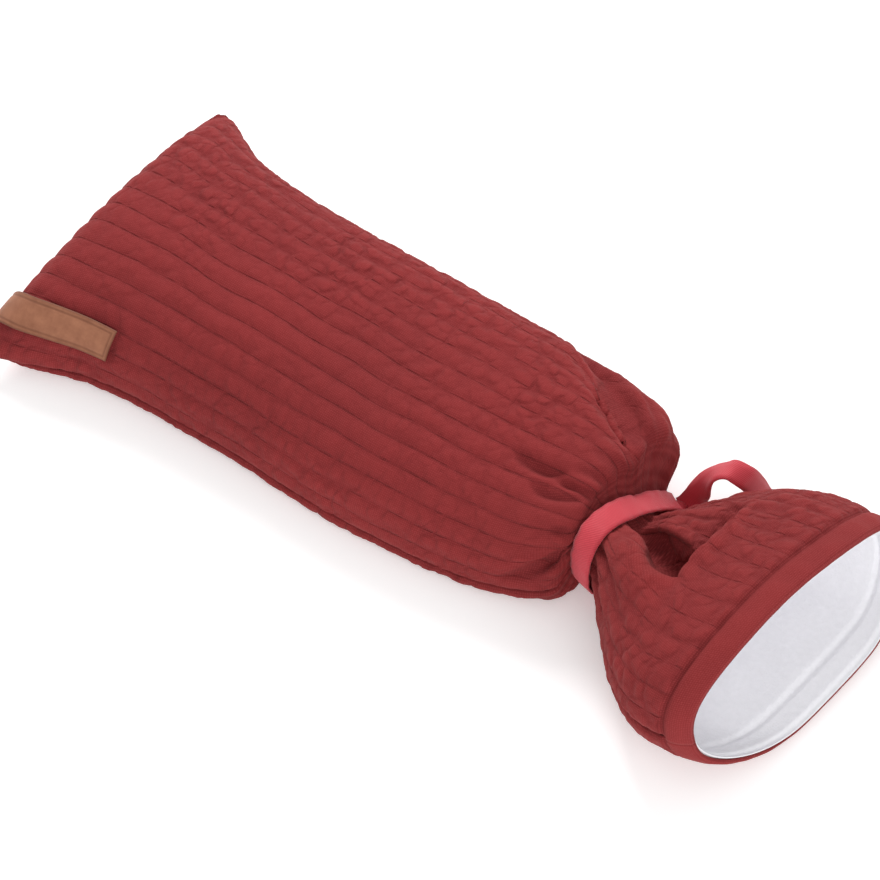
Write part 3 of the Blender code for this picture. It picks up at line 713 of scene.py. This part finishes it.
# %% The stitched rows: 1 on a row, 0 a little away from it
from_row = add_node(tree, "ShaderNodeMath", {0: lane, 1: 0.5}, operation="PINGPONG").outputs[0]
row = add_node(
    tree, "ShaderNodeMapRange", {"Value": from_row}, interpolation_type="SMOOTHSTEP",
    From_Max=STITCH_LINE, To_Min=1.0, To_Max=0.0,
).outputs["Result"]
row = add_node(tree, "ShaderNodeMath", {0: row, 1: quilted}, operation="MULTIPLY").outputs[0]
uneven = add_node(
    tree, "ShaderNodeMapRange", {"Value": patches}, From_Min=0.30, From_Max=0.65, To_Min=0.25,
).outputs["Result"]
row = add_node(tree, "ShaderNodeMath", {0: row, 1: uneven}, operation="MULTIPLY").outputs[0]

# %% The borders between the cobbles, in lanes across and in cobbles along
along = add_node(tree, "ShaderNodeSeparateXYZ", {"Vector": flat_cloth}).outputs["X"]
along = add_node(tree, "ShaderNodeMath", {0: along, 1: COBBLE}, operation="DIVIDE").outputs[0]
along = add_node(
    tree, "ShaderNodeMath", {0: stir, 1: 1.6, 2: along}, operation="MULTIPLY_ADD"
).outputs[0]
across = add_node(
    tree, "ShaderNodeMath", {0: lane, 1: COBBLES_ACROSS}, operation="MULTIPLY"
).outputs[0]
cells = add_node(tree, "ShaderNodeCombineXYZ", {"X": along, "Y": across}).outputs["Vector"]
border = add_node(
    tree, "ShaderNodeTexVoronoi", {"Vector": cells}, voronoi_dimensions="2D",
    feature="SMOOTH_F1", Scale=1.0, Smoothness=0.25, Randomness=0.85,
).outputs["Distance"]
border = add_node(
    tree, "ShaderNodeMapRange", {"Value": border}, interpolation_type="SMOOTHSTEP",
    From_Min=0.20, From_Max=0.70,
).outputs["Result"]
border = add_node(tree, "ShaderNodeMath", {0: border, 1: pucker}, operation="MULTIPLY").outputs[0]
border = add_node(tree, "ShaderNodeMath", {0: border, 1: uneven}, operation="MULTIPLY").outputs[0]
row = add_node(tree, "ShaderNodeMath", {0: row, 1: 0.6}, operation="MULTIPLY").outputs[0]
# Painted shade: the colour is darkened along this, in the stitched rows and between the cobbles, where
# shade falls.
valley = add_node(tree, "ShaderNodeMath", {0: row, 1: border}, operation="MAXIMUM").outputs[0]

# %% The knitted loops
loops = [
    add_node(
        tree, "ShaderNodeTexWave", {"Vector": flat_cloth}, wave_type="BANDS",
        bands_direction=direction, Scale=WAVE_PERIOD / LOOP_SPACING, Distortion=3.0,
        Detail=2.0, Detail_Scale=3.0,
    ).outputs["Fac"]
    for direction in ("X", "Y")
]
knit = add_node(tree, "ShaderNodeMath", {0: loops[0], 1: loops[1]}, operation="MULTIPLY").outputs[0]

# %% Its colour: each layer lies over the ones before, as much as its map says
# Painted highlight and painted shade: the colour runs from dark in the low places to light on the pad
# tops.
pad_light_and_shade = add_node(tree, "ShaderNodeValToRGB", {"Fac": relief_shade})
pad_light_and_shade.color_ramp.elements[0].position = 0.05
pad_light_and_shade.color_ramp.elements[0].color = linear("#752527")
pad_light_and_shade.color_ramp.elements[1].position = 0.75
pad_light_and_shade.color_ramp.elements[1].color = linear("#882c2d")
colour = pad_light_and_shade.outputs["Color"]
for share_of, most, tone in (
    (mottle, 0.5, "#7d2b2b"),
    (knit, 0.55, "#a44545"),
    # painted shade in the stitched rows and the cobble borders
    (valley, 0.30, "#5c1c1f"),
):
    share = add_node(tree, "ShaderNodeMath", {0: share_of, 1: most}, operation="MULTIPLY").outputs[0]
    colour = add_node(
        tree, "ShaderNodeMix", {"Factor": share, "A": colour, "B": linear(tone)}, data_type="RGBA"
    ).outputs["Result"]
tree.links.new(colour, surface.inputs["Base Color"])

# %% Its surface, from the finest relief to the coarsest
surface.inputs["Roughness"].default_value = 0.92
surface.inputs["Specular IOR Level"].default_value = 0.15
surface.inputs["Sheen Weight"].default_value = 0.12
surface.inputs["Sheen Roughness"].default_value = 0.5
surface.inputs["Sheen Tint"].default_value = linear("#d98a84")
fuzz = add_node(tree, "ShaderNodeBump", {"Height": fuzz_height}, Strength=0.30, Distance=0.0005)
weave = add_node(
    tree, "ShaderNodeBump", {"Height": knit, "Normal": fuzz.outputs["Normal"]},
    Strength=0.20, Distance=0.0003,
)
sewn = add_node(
    tree, "ShaderNodeBump", {"Height": valley, "Normal": weave.outputs["Normal"]},
    Strength=0.9, Distance=0.0014, invert=True,
)
tree.links.new(sewn.outputs["Normal"], surface.inputs["Normal"])
dress(panels, jersey)

# %% [markdown]
# ## The fleece lining
#
# The lining is a funnel of white fleece, stitched in with the hem. It follows the mouth a few
# millimetres inside the padded cloth, shows the hem's stitching as a faint groove, and narrows
# towards the neck. Where a deep fold of the upper panel comes down into it, it gives way.

# %% Points and mesh of the lining
LINING_START = 316.0
LINING_SETBACK = 0.5
FLEECE = 1.4
FLEECE_GAP = 0.6  # between the padded cloth's inside and the fleece
FLEECE_GROOVE, FLEECE_GROOVE_HALF_WIDTH = 0.7, 1.3
CLOSING, CLOSING_FROM = 0.45, 352.0  # the share that it narrows by, and where that begins
FOLDS_UNTIL = 358.0  # the station past which no fold of the upper panel comes down
FOLD_REACH, FOLD_CLEAR = 4.0, 5.4  # how far round a point to look, and the room to leave there
DROP_SMOOTHINGS = 16
FLEECE_ROWS, FLEECE_COLUMNS = 100, 128


def fleece_skin(panel, stations, shares):
    """The fleece's face under one panel, as far inside the cloth as both are thick."""
    bare, outward, _, raised = creased_tube(panel, stations, shares)
    s = stations[:, None]
    left = squeeze(s)
    along_hem = np.clip((s - HEM_STITCH) / HEM_WIDTH, 0.0, 1.0)
    depth = PADDED_CLOTH * left + FLEECE * left + FLEECE_GAP
    depth = depth + 1.5 * bell(s - HEM_STITCH, STITCH_REACH)
    depth = depth - FLEECE_GROOVE * bell(s - HEM_STITCH, FLEECE_GROOVE_HALF_WIDTH)
    depth = depth - 0.5 * np.sin(math.pi * along_hem) ** 0.5 + HEM_EDGE * (along_hem > 0.9) * along_hem**8
    soft = np.clip(noise_map(bare + 20.0, 16.0), 0.0, 1.0) * (1.0 - along_hem) ** 2
    points = bare + outward * (raised - depth - 0.6 * soft)[:, :, None]
    closing = 1.0 - CLOSING * step_up(-s, -CLOSING_FROM, -LINING_START)
    for row, station in enumerate(stations):
        section = section_at(station)
        axis = (section["side"], (section["top"] + section["bottom"]) / 2 - 6.0)
        points[row, :, 1:] = axis + (points[row, :, 1:] - axis) * closing[row]
    points[:, :, 2] = np.maximum(points[:, :, 2], PADDED_CLOTH * left + FLEECE * left + 0.4)
    return points


def drop_under(points, stations, shares):
    """How far to lower the fleece where a fold of the padded cloth comes down too near."""
    bare, outward, _, raised = creased_tube("front", stations, shares)
    ceiling = (bare + outward * raised[:, :, None]).reshape(-1, 3)
    over = KDTree(len(ceiling))
    for k, (x, y, _) in enumerate(ceiling):
        over.insert((x, y, 0.0), k)
    over.balance()
    drop = np.zeros(points.shape[:2])
    for i, j in np.ndindex(*drop.shape):
        x, y, z = points[i, j]
        near = [ceiling[k][2] for _, k, _ in over.find_range((x, y, 0.0), FOLD_REACH)]
        drop[i, j] = max([0.0] + [z - other + FOLD_CLEAR for other in near])
    for _ in range(DROP_SMOOTHINGS):
        wide = np.pad(drop, 1, mode="edge")
        drop = (4 * drop + wide[:-2, 1:-1] + wide[2:, 1:-1] + wide[1:-1, :-2] + wide[1:-1, 2:]) / 8
    return drop


def lining_points():
    """A closed ring of rows, over the top and back under the belly."""
    stations = np.linspace(LINING_START, LYING_LENGTH - LINING_SETBACK, FLEECE_ROWS + 1)
    shares = np.linspace(0.0, 1.0, FLEECE_COLUMNS + 1)
    over, under = (fleece_skin(panel, stations, shares) for panel in ("front", "back"))
    rows, columns = np.flatnonzero(stations < FOLDS_UNTIL), np.flatnonzero(abs(shares - 0.5) < 0.35)
    folds = np.ix_(rows, columns)
    over[folds + (2,)] -= drop_under(over[folds], stations[rows], shares[columns])
    for column in (0, -1):
        over[:, column] = under[:, column] = (over[:, column] + under[:, column]) / 2
    points = np.concatenate([over, under[:, -2::-1]], axis=1)
    steps = np.linalg.norm(np.diff(points, axis=1), axis=2)
    girth = np.concatenate([np.zeros((len(stations), 1)), np.cumsum(steps, axis=1)], axis=1)
    flat_place = np.stack([np.broadcast_to(stations[:, None], girth.shape), girth], axis=2) * MM
    return points, flat_place, stations


def close_ring(cloth):
    """Merges the first and the last column of a ring into one."""
    bpy.ops.object.select_all(action="DESELECT")
    cloth.select_set(True)
    bpy.context.view_layer.objects.active = cloth
    bpy.ops.object.mode_set(mode="EDIT")
    bpy.ops.mesh.select_all(action="SELECT")
    bpy.ops.mesh.remove_doubles(threshold=1e-6)
    bpy.ops.object.mode_set(mode="OBJECT")


points, flat_place, stations = lining_points()
fleece, i, _ = cloth_from_grid("fleece_lining", points, flat_place)
paint(fleece, "left", squeeze(stations)[i].round(3))
close_ring(fleece)
left = np.empty(len(fleece.data.vertices), dtype=np.float32)
fleece.data.attributes["left"].data.foreach_get("value", left)
thicken(fleece, FLEECE, left)
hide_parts("lining")
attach(fleece, "root")
print("lining faces:", len(fleece.data.polygons))

# %% [markdown]
# ## White fleece
#
# Fleece is a knitted polyester with a brushed pile about a millimetre deep. It scatters light
# softly, so it looks white and almost without shadows, with a fine grain. The pile is a bump
# of two noises, and a little sheen keeps its edges bright.

# %% Material of the lining
pile, tree, surface = new_material("brushed_white_fleece")
place = add_node(tree, "ShaderNodeTexCoord").outputs["Object"]
tufts = add_node(
    tree, "ShaderNodeTexNoise", {"Vector": place}, Scale=900.0, Detail=4.0, Roughness=0.65
).outputs["Fac"]
clumps = add_node(
    tree, "ShaderNodeTexNoise", {"Vector": place}, Scale=400.0, Detail=2.0, Roughness=0.5
).outputs["Fac"]
tone = add_node(tree, "ShaderNodeValToRGB", {"Fac": clumps})
tone.color_ramp.elements[0].position = 0.3
tone.color_ramp.elements[0].color = linear("#e8e7eb")
tone.color_ramp.elements[1].position = 0.7
tone.color_ramp.elements[1].color = linear("#ecebef")
tree.links.new(tone.outputs["Color"], surface.inputs["Base Color"])
surface.inputs["Roughness"].default_value = 0.95
surface.inputs["Specular IOR Level"].default_value = 0.15
surface.inputs["Sheen Weight"].default_value = 0.3
surface.inputs["Sheen Roughness"].default_value = 0.6
rough = add_node(tree, "ShaderNodeBump", {"Height": tufts}, Strength=0.4, Distance=0.0006)
soft = add_node(
    tree, "ShaderNodeBump", {"Height": clumps, "Normal": rough.outputs["Normal"]},
    Strength=0.12, Distance=0.0012,
)
tree.links.new(soft.outputs["Normal"], surface.inputs["Normal"])
dress([fleece], pile)

# %% [markdown]
# ## The ribbon
#
# One ribbon goes round the neck, is knotted on the far side, and leaves two free ends. The
# first arches up behind the neck before it drops to the table, and the other goes straight
# down. All are flat strips, so each is a narrow grid along its route. The band follows the
# cloth that it squeezes. The free ends follow the same points as the frame's solids.

# %% The band round the neck
RIBBON_THICK = 0.9
BAND_COLUMNS, BAND_ROWS = 96, 6
BAND_CLEAR = 1.5  # over the bare surface of the cloth


def band_points():
    """A ring of ribbon, a little wavy at its edges, as tight ribbon is."""
    stations = NECK_STATION + np.linspace(-0.5, 0.5, BAND_ROWS + 1) * RIBBON_WIDTH
    shares = np.linspace(0.0, 1.0, BAND_COLUMNS + 1)
    over, _ = bare_surface(stations, shares, "front")
    under, _ = bare_surface(stations, shares, "back")
    ring = np.concatenate([over, under[:, -2::-1]], axis=1)
    outward = normals_of(ring)
    across = np.linspace(-1.0, 1.0, BAND_ROWS + 1)[:, None]
    girth = np.linspace(0.0, 2.0, ring.shape[1])[None, :]
    ripple = 0.22 * np.sin(2 * math.pi * 13 * girth + 1.5 * across) * across**2
    height = BAND_CLEAR + RIBBON_THICK - 0.25 * across**2 + ripple
    points = ring + outward * height[:, :, None]
    points[:, :, 2] = np.maximum(points[:, :, 2], RIBBON_THICK + 0.1)
    points[:, -1] = points[:, 0]
    length = np.concatenate([[0.0], np.cumsum(np.linalg.norm(np.diff(points[3], axis=0), axis=1))])
    flat_place = np.stack([
        np.broadcast_to(length[None, :] * MM, ripple.shape),
        np.broadcast_to(across * RIBBON_WIDTH / 2 * MM, ripple.shape),
    ], axis=2)
    return points, flat_place, float(length[-1])


points, flat_place, band_length = band_points()
band, _, _ = cloth_from_grid("ribbon", points, flat_place, turn_over=True)
close_ring(band)
thicken(band, RIBBON_THICK)

# %% The two free ends: station, side, height, turn of the width in degrees from the length
ARCHED_END = (
    (302.0, 35.2, 8.0, 180.0), (303.4, 37.0, 9.6, 184.0), (305.0, 39.8, 13.8, 190.0),
    (306.8, 41.1, 20.4, 168.0), (308.4, 42.8, 27.0, 134.0), (311.0, 45.2, 32.6, 98.0),
    (316.4, 48.0, 35.6, 78.0), (322.6, 50.8, 32.0, 78.0), (326.2, 55.4, 22.0, 86.0),
    (328.2, 60.0, 10.6, 90.0), (332.0, 62.8, 2.8, 90.0), (338.0, 63.9, 0.8, 90.0),
    (352.0, 65.5, 0.6, 90.0), (366.0, 65.0, 0.6, 90.0),
)
PLAIN_END = (
    (302.0, 35.2, 6.0, 0.0), (304.0, 37.4, 4.0, 20.0), (307.0, 40.8, 2.2, 55.0),
    (312.0, 44.5, 0.9, 85.0), (322.0, 47.0, 0.6, 90.0), (334.0, 48.5, 0.6, 90.0),
    (346.0, 49.0, 0.6, 90.0),
)
END_STEPS, END_COLUMNS = 8, 4


def ribbon_end(name, route):
    """A flat ribbon along a route, which turns as the route says and lies on the table."""
    knots = np.arange(len(route), dtype=float)
    where = np.linspace(0.0, knots[-1], END_STEPS * (len(route) - 1) + 1)
    read = [smooth_through(knots, [p[k] for p in route], where) for k in range(4)]
    line = np.stack(read[:3], axis=1)
    line[:, 0] -= MIDDLE_STATION
    turn = np.radians(read[3])
    along = np.gradient(line, axis=0)
    along /= np.linalg.norm(along, axis=1)[:, None]
    wide = np.stack([np.cos(turn), np.sin(turn), np.zeros(len(turn))], axis=1)
    wide -= along * np.sum(wide * along, axis=1)[:, None]
    wide /= np.linalg.norm(wide, axis=1)[:, None]
    face = np.cross(along, wide)
    upright = float(np.sign(face[-1, 2]))
    face *= upright
    across = np.linspace(-0.5, 0.5, END_COLUMNS + 1)
    points = line[:, None] + wide[:, None] * across[None, :, None] * RIBBON_WIDTH
    curl = 0.3 * (1 - (2 * across) ** 2)
    points += face[:, None] * (curl[None, :, None] + RIBBON_THICK / 2)
    points[:, :, 2] = np.maximum(points[:, :, 2], RIBBON_THICK)
    length = np.concatenate([[0.0], np.cumsum(np.linalg.norm(np.diff(line, axis=0), axis=1))])
    flat_place = np.stack(np.meshgrid(length * MM, across * RIBBON_WIDTH * MM, indexing="ij"), axis=2)
    end, _, _ = cloth_from_grid(name, points, flat_place, turn_over=upright > 0)
    thicken(end, RIBBON_THICK)
    return end, float(length[-1])


arched, arched_length = ribbon_end("ribbon_arched_end", ARCHED_END)
plain, plain_length = ribbon_end("ribbon_plain_end", PLAIN_END)
print("free ends, mm:", round(arched_length), round(plain_length))

# %% [markdown]
# ### The knot
#
# A tight overhand knot in ribbon is a small firm cushion with one turn of ribbon wrapped over
# it. A sphere is pressed into the cushion, and a short cylinder without its caps becomes the
# turn, pinched at its edges.

# %% The knot
KNOT_CENTRE = (301.2 - MIDDLE_STATION, 34.8, 6.4)
KNOT_SIZE = (8.5, 7.5, 9.0)
KNOT_RUCK, RUCKS = 0.5, 420.0  # how high the cushion's rucks are, and how many to a metre
TURN_SIZE, TURN_PINCH, TURN_THICK = (6.0, 7.8, 9.4), 0.10, 0.8


def at_knot(size, place):
    """A point of a unit primitive, in metres, once the primitive is this large and at the knot."""
    return Vector([(c + s * p) * MM for c, s, p in zip(KNOT_CENTRE, size, place)])


bpy.ops.object.select_all(action="DESELECT")
bpy.ops.mesh.primitive_uv_sphere_add(segments=32, ring_count=20, radius=0.5)
knot = bpy.context.object
knot.name = "ribbon_knot"
for vert in knot.data.vertices:
    vert.co = at_knot(KNOT_SIZE, vert.co)
knot.data.shade_smooth()
for vert in knot.data.vertices:
    vert.co += vert.normal * noise.noise(vert.co * RUCKS) * KNOT_RUCK * MM

bpy.ops.object.select_all(action="DESELECT")
bpy.ops.mesh.primitive_cylinder_add(vertices=36, radius=0.5, depth=1.0, end_fill_type="NOTHING")
turn = bpy.context.object
turn.name = "ribbon_knot_turn"
bpy.ops.object.mode_set(mode="EDIT")
bpy.ops.mesh.select_all(action="SELECT")
bpy.ops.mesh.subdivide(number_cuts=3)
bpy.ops.object.mode_set(mode="OBJECT")
for vert in turn.data.vertices:
    vert.co = Vector((vert.co.z, vert.co.y, vert.co.x))
turn.data.flip_normals()
for vert in turn.data.vertices:
    pinch = 1.0 + TURN_PINCH * math.cos(2 * math.pi * vert.co.x)
    vert.co = at_knot(TURN_SIZE, (vert.co.x, vert.co.y * pinch, vert.co.z * pinch))
turn.data.shade_smooth()
thicken(turn, TURN_THICK)

# %% Put the ribbon together
ribbon_pieces = (band, arched, plain, knot, turn)
for piece in ribbon_pieces:
    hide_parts("tie")
    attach(piece, "root")

# %% [markdown]
# ## Coral twill ribbon
#
# The ribbon is woven polyester twill: smoother and brighter than the jersey, with a fine
# diagonal rib and a slight gloss. The rib is 0.7 mm apart, and runs across the strip's own
# length, so the material reads the strip's UV map.

# %% Material of the ribbon
RIB_SPACING = 0.0007
twill, tree, surface = new_material("woven_twill_ribbon")
flat_cloth = add_node(tree, "ShaderNodeUVMap", uv_map="UVMap").outputs["UV"]
slanted = add_node(
    tree, "ShaderNodeMapping", {"Vector": flat_cloth, "Rotation": (0.0, 0.0, math.radians(32.0))}
)
ribs = add_node(
    tree, "ShaderNodeTexWave", {"Vector": slanted.outputs["Vector"]}, wave_type="BANDS",
    bands_direction="X", Scale=WAVE_PERIOD / RIB_SPACING, Distortion=0.4,
).outputs["Fac"]
rib_colour = add_node(tree, "ShaderNodeValToRGB", {"Fac": ribs})
rib_colour.color_ramp.elements[0].color = linear("#bd2f3c")
rib_colour.color_ramp.elements[1].color = linear("#d2424e")
tree.links.new(rib_colour.outputs["Color"], surface.inputs["Base Color"])
surface.inputs["Roughness"].default_value = 0.6
surface.inputs["Specular IOR Level"].default_value = 0.35
surface.inputs["Sheen Weight"].default_value = 0.15
rib_bump = add_node(tree, "ShaderNodeBump", {"Height": ribs}, Strength=0.4, Distance=0.0003)
tree.links.new(rib_bump.outputs["Normal"], surface.inputs["Normal"])
dress(ribbon_pieces, twill)

# %% [markdown]
# ## The leather label
#
# A strip of leather, a little over a millimetre thick, lies on the pads near one corner, its
# end caught in the closed seam. A plain line is pressed into it all round, two millimetres
# inside its edge, and its cut edges are rounded and darker than its face.

# %% Label
LABEL_CLEAR = 1.4  # its underside, over the bare surface
LABEL_ROWS, LABEL_COLUMNS = 120, 34
LABEL_LINE_INSET, LABEL_LINE_DEPTH, LABEL_LINE_HALF_WIDTH = 2.0, 0.30, 0.38
LABEL_EDGE, LABEL_EDGE_DROP = 0.7, 0.45  # how wide its rounded edge is, and how far it falls
LABEL_IN_SEAM = 3.0  # how far its sewn end goes on into the seam


def label_points():
    """The label's face, following the pads loosely, as stiff leather does."""
    stations = np.linspace(LABEL_FROM, LABEL_TO, LABEL_ROWS + 1)
    _, widths = bare_surface(stations[-1:], np.array([0.0, 1.0]), "front")
    start = LABEL_FROM_SEAM / widths[0]
    shares = start + np.linspace(0.0, 1.0, LABEL_COLUMNS + 1) * LABEL_WIDTH / widths[0]
    bare, outward, _, raised = creased_tube("front", stations, shares)
    along = (stations - LABEL_FROM)[:, None]
    across = np.linspace(0.0, LABEL_WIDTH, LABEL_COLUMNS + 1)[None, :]
    to_edge = np.minimum(LABEL_TO - LABEL_FROM - along, np.minimum(across, LABEL_WIDTH - across))
    to_edge = np.minimum(to_edge, along + LABEL_IN_SEAM)
    line = bell(to_edge - LABEL_LINE_INSET, LABEL_LINE_HALF_WIDTH)
    rounded = np.clip(1.0 - to_edge / LABEL_EDGE, 0.0, 1.0)
    height = LABEL_CLEAR + LABEL_THICK + raised - LABEL_LINE_DEPTH * line
    height = height - LABEL_EDGE_DROP * (1.0 - np.sqrt(1.0 - rounded**2))
    height = height + 0.25 * noise_map(bare, 16.0)
    edge_dark = np.clip(bell(to_edge, 0.8) + 0.7 * line, 0.0, 1.0)
    flat_place = np.stack(np.broadcast_arrays(along * MM, across * MM), axis=2)
    return bare + outward * height[:, :, None], edge_dark, flat_place


points, edge_dark, flat_place = label_points()
label, i, j = cloth_from_grid("leather_label", points, flat_place, turn_over=True)
paint(label, "worn", edge_dark[i, j])
thicken(label, LABEL_THICK)
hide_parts("label")
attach(label, "root")

# %% [markdown]
# ## Tan leather
#
# Vegetable-tanned leather that was pressed while damp: a warm tan with a fine grain, darker
# where the press and the knife burnished it. The grain is a Voronoi pattern at half a
# millimetre, under a slow change of tone.

# %% Material of the label
tan, tree, surface = new_material("vegetable_tanned_leather")
place = add_node(tree, "ShaderNodeTexCoord").outputs["Object"]
worn = add_node(tree, "ShaderNodeAttribute", attribute_name="worn").outputs["Fac"]
tones = add_node(
    tree, "ShaderNodeTexNoise", {"Vector": place}, Scale=160.0, Detail=5.0, Roughness=0.65
).outputs["Fac"]
grain = add_node(
    tree, "ShaderNodeTexVoronoi", {"Vector": place}, feature="DISTANCE_TO_EDGE", Scale=1800.0
).outputs["Distance"]
hide = add_node(tree, "ShaderNodeValToRGB", {"Fac": tones})
hide.color_ramp.elements[0].position = 0.3
hide.color_ramp.elements[0].color = linear("#8f5a41")
hide.color_ramp.elements[1].position = 0.7
hide.color_ramp.elements[1].color = linear("#a86f52")
burnished = add_node(
    tree, "ShaderNodeMix", {"Factor": worn, "A": hide.outputs["Color"], "B": linear("#6f3f2a")},
    data_type="RGBA",
)
tree.links.new(burnished.outputs["Result"], surface.inputs["Base Color"])
surface.inputs["Roughness"].default_value = 0.62
surface.inputs["Specular IOR Level"].default_value = 0.35
pores = add_node(tree, "ShaderNodeBump", {"Height": grain}, Strength=0.25, Distance=0.0002)
tree.links.new(pores.outputs["Normal"], surface.inputs["Normal"])
dress([label], tan)

# %% [markdown]
# ## Table, light and camera
#
# The cover was photographed on white, under broad soft light from above. A pale floor, a
# bright even world and three large area lights give that, over a table that glows a little, as
# a light table does. The shadows stay short and faint, and the relief of the quilting still
# reads. The camera stands above the near side, a little over a metre away, and looks down at 55
# degrees.

# %% Floor
bpy.ops.object.select_all(action="DESELECT")
bpy.ops.mesh.primitive_plane_add(size=6.0, location=(0.0, 0.0, 0.0))
floor = bpy.context.object
floor.name = "floor"
white, tree, surface = new_material("lit_white_table")
surface.inputs["Base Color"].default_value = linear("#fbfbfb")
surface.inputs["Roughness"].default_value = 0.9
surface.inputs["Specular IOR Level"].default_value = 0.1
surface.inputs["Emission Color"].default_value = (1.0, 1.0, 1.0, 1.0)
surface.inputs["Emission Strength"].default_value = 0.24
floor.data.materials.append(white)

# %% World and lights
bpy.context.scene.view_settings.view_transform = "Standard"
world = bpy.data.worlds.new("studio")
bpy.context.scene.world = world
world.use_nodes = True
background = world.node_tree.nodes["Background"]
background.inputs["Color"].default_value = (1.0, 1.0, 1.0, 1.0)
background.inputs["Strength"].default_value = 0.62


def soft_light(name, place, size, power):
    """A square area light that looks at the cover."""
    data = bpy.data.lights.new(name, "AREA")
    data.shape = "SQUARE"
    data.size = size
    data.energy = power
    lamp = bpy.data.objects.new(name, data)
    bpy.context.scene.collection.objects.link(lamp)
    lamp.location = place
    lamp.rotation_euler = (Vector((0.0, 0.0, 0.03)) - Vector(place)).to_track_quat("-Z", "Y").to_euler()


soft_light("window", (-1.0, 1.1, 1.1), 0.7, 24.0)
soft_light("fill", (0.9, -1.0, 1.2), 1.2, 7.0)
soft_light("mouth", (1.3, -0.3, 0.55), 0.8, 5.0)

# %% Camera
IMAGE_WIDTH = 880.0
AZIMUTH, ELEVATION = math.radians(36.5), math.radians(55.0)
DISTANCE = 1.19375
FOCAL_PIXELS = 2712.5
TARGET = Vector((0.18336 - MIDDLE_STATION * MM, -0.004775, 0.02865))
PRINCIPAL_POINT = (410.0, 410.0)

data = bpy.data.cameras.new("camera")
data.sensor_width = 36.0
data.lens = FOCAL_PIXELS * data.sensor_width / IMAGE_WIDTH
data.shift_x = (IMAGE_WIDTH / 2 - PRINCIPAL_POINT[0]) / IMAGE_WIDTH
data.shift_y = (PRINCIPAL_POINT[1] - IMAGE_WIDTH / 2) / IMAGE_WIDTH
camera = bpy.data.objects.new("camera", data)
bpy.context.scene.collection.objects.link(camera)
back = Vector((
    math.sin(AZIMUTH) * math.cos(ELEVATION),
    -math.cos(AZIMUTH) * math.cos(ELEVATION),
    math.sin(ELEVATION),
))
camera.location = TARGET + back * DISTANCE
camera.rotation_euler = (-back).to_track_quat("-Z", "Y").to_euler()
bpy.context.scene.camera = camera
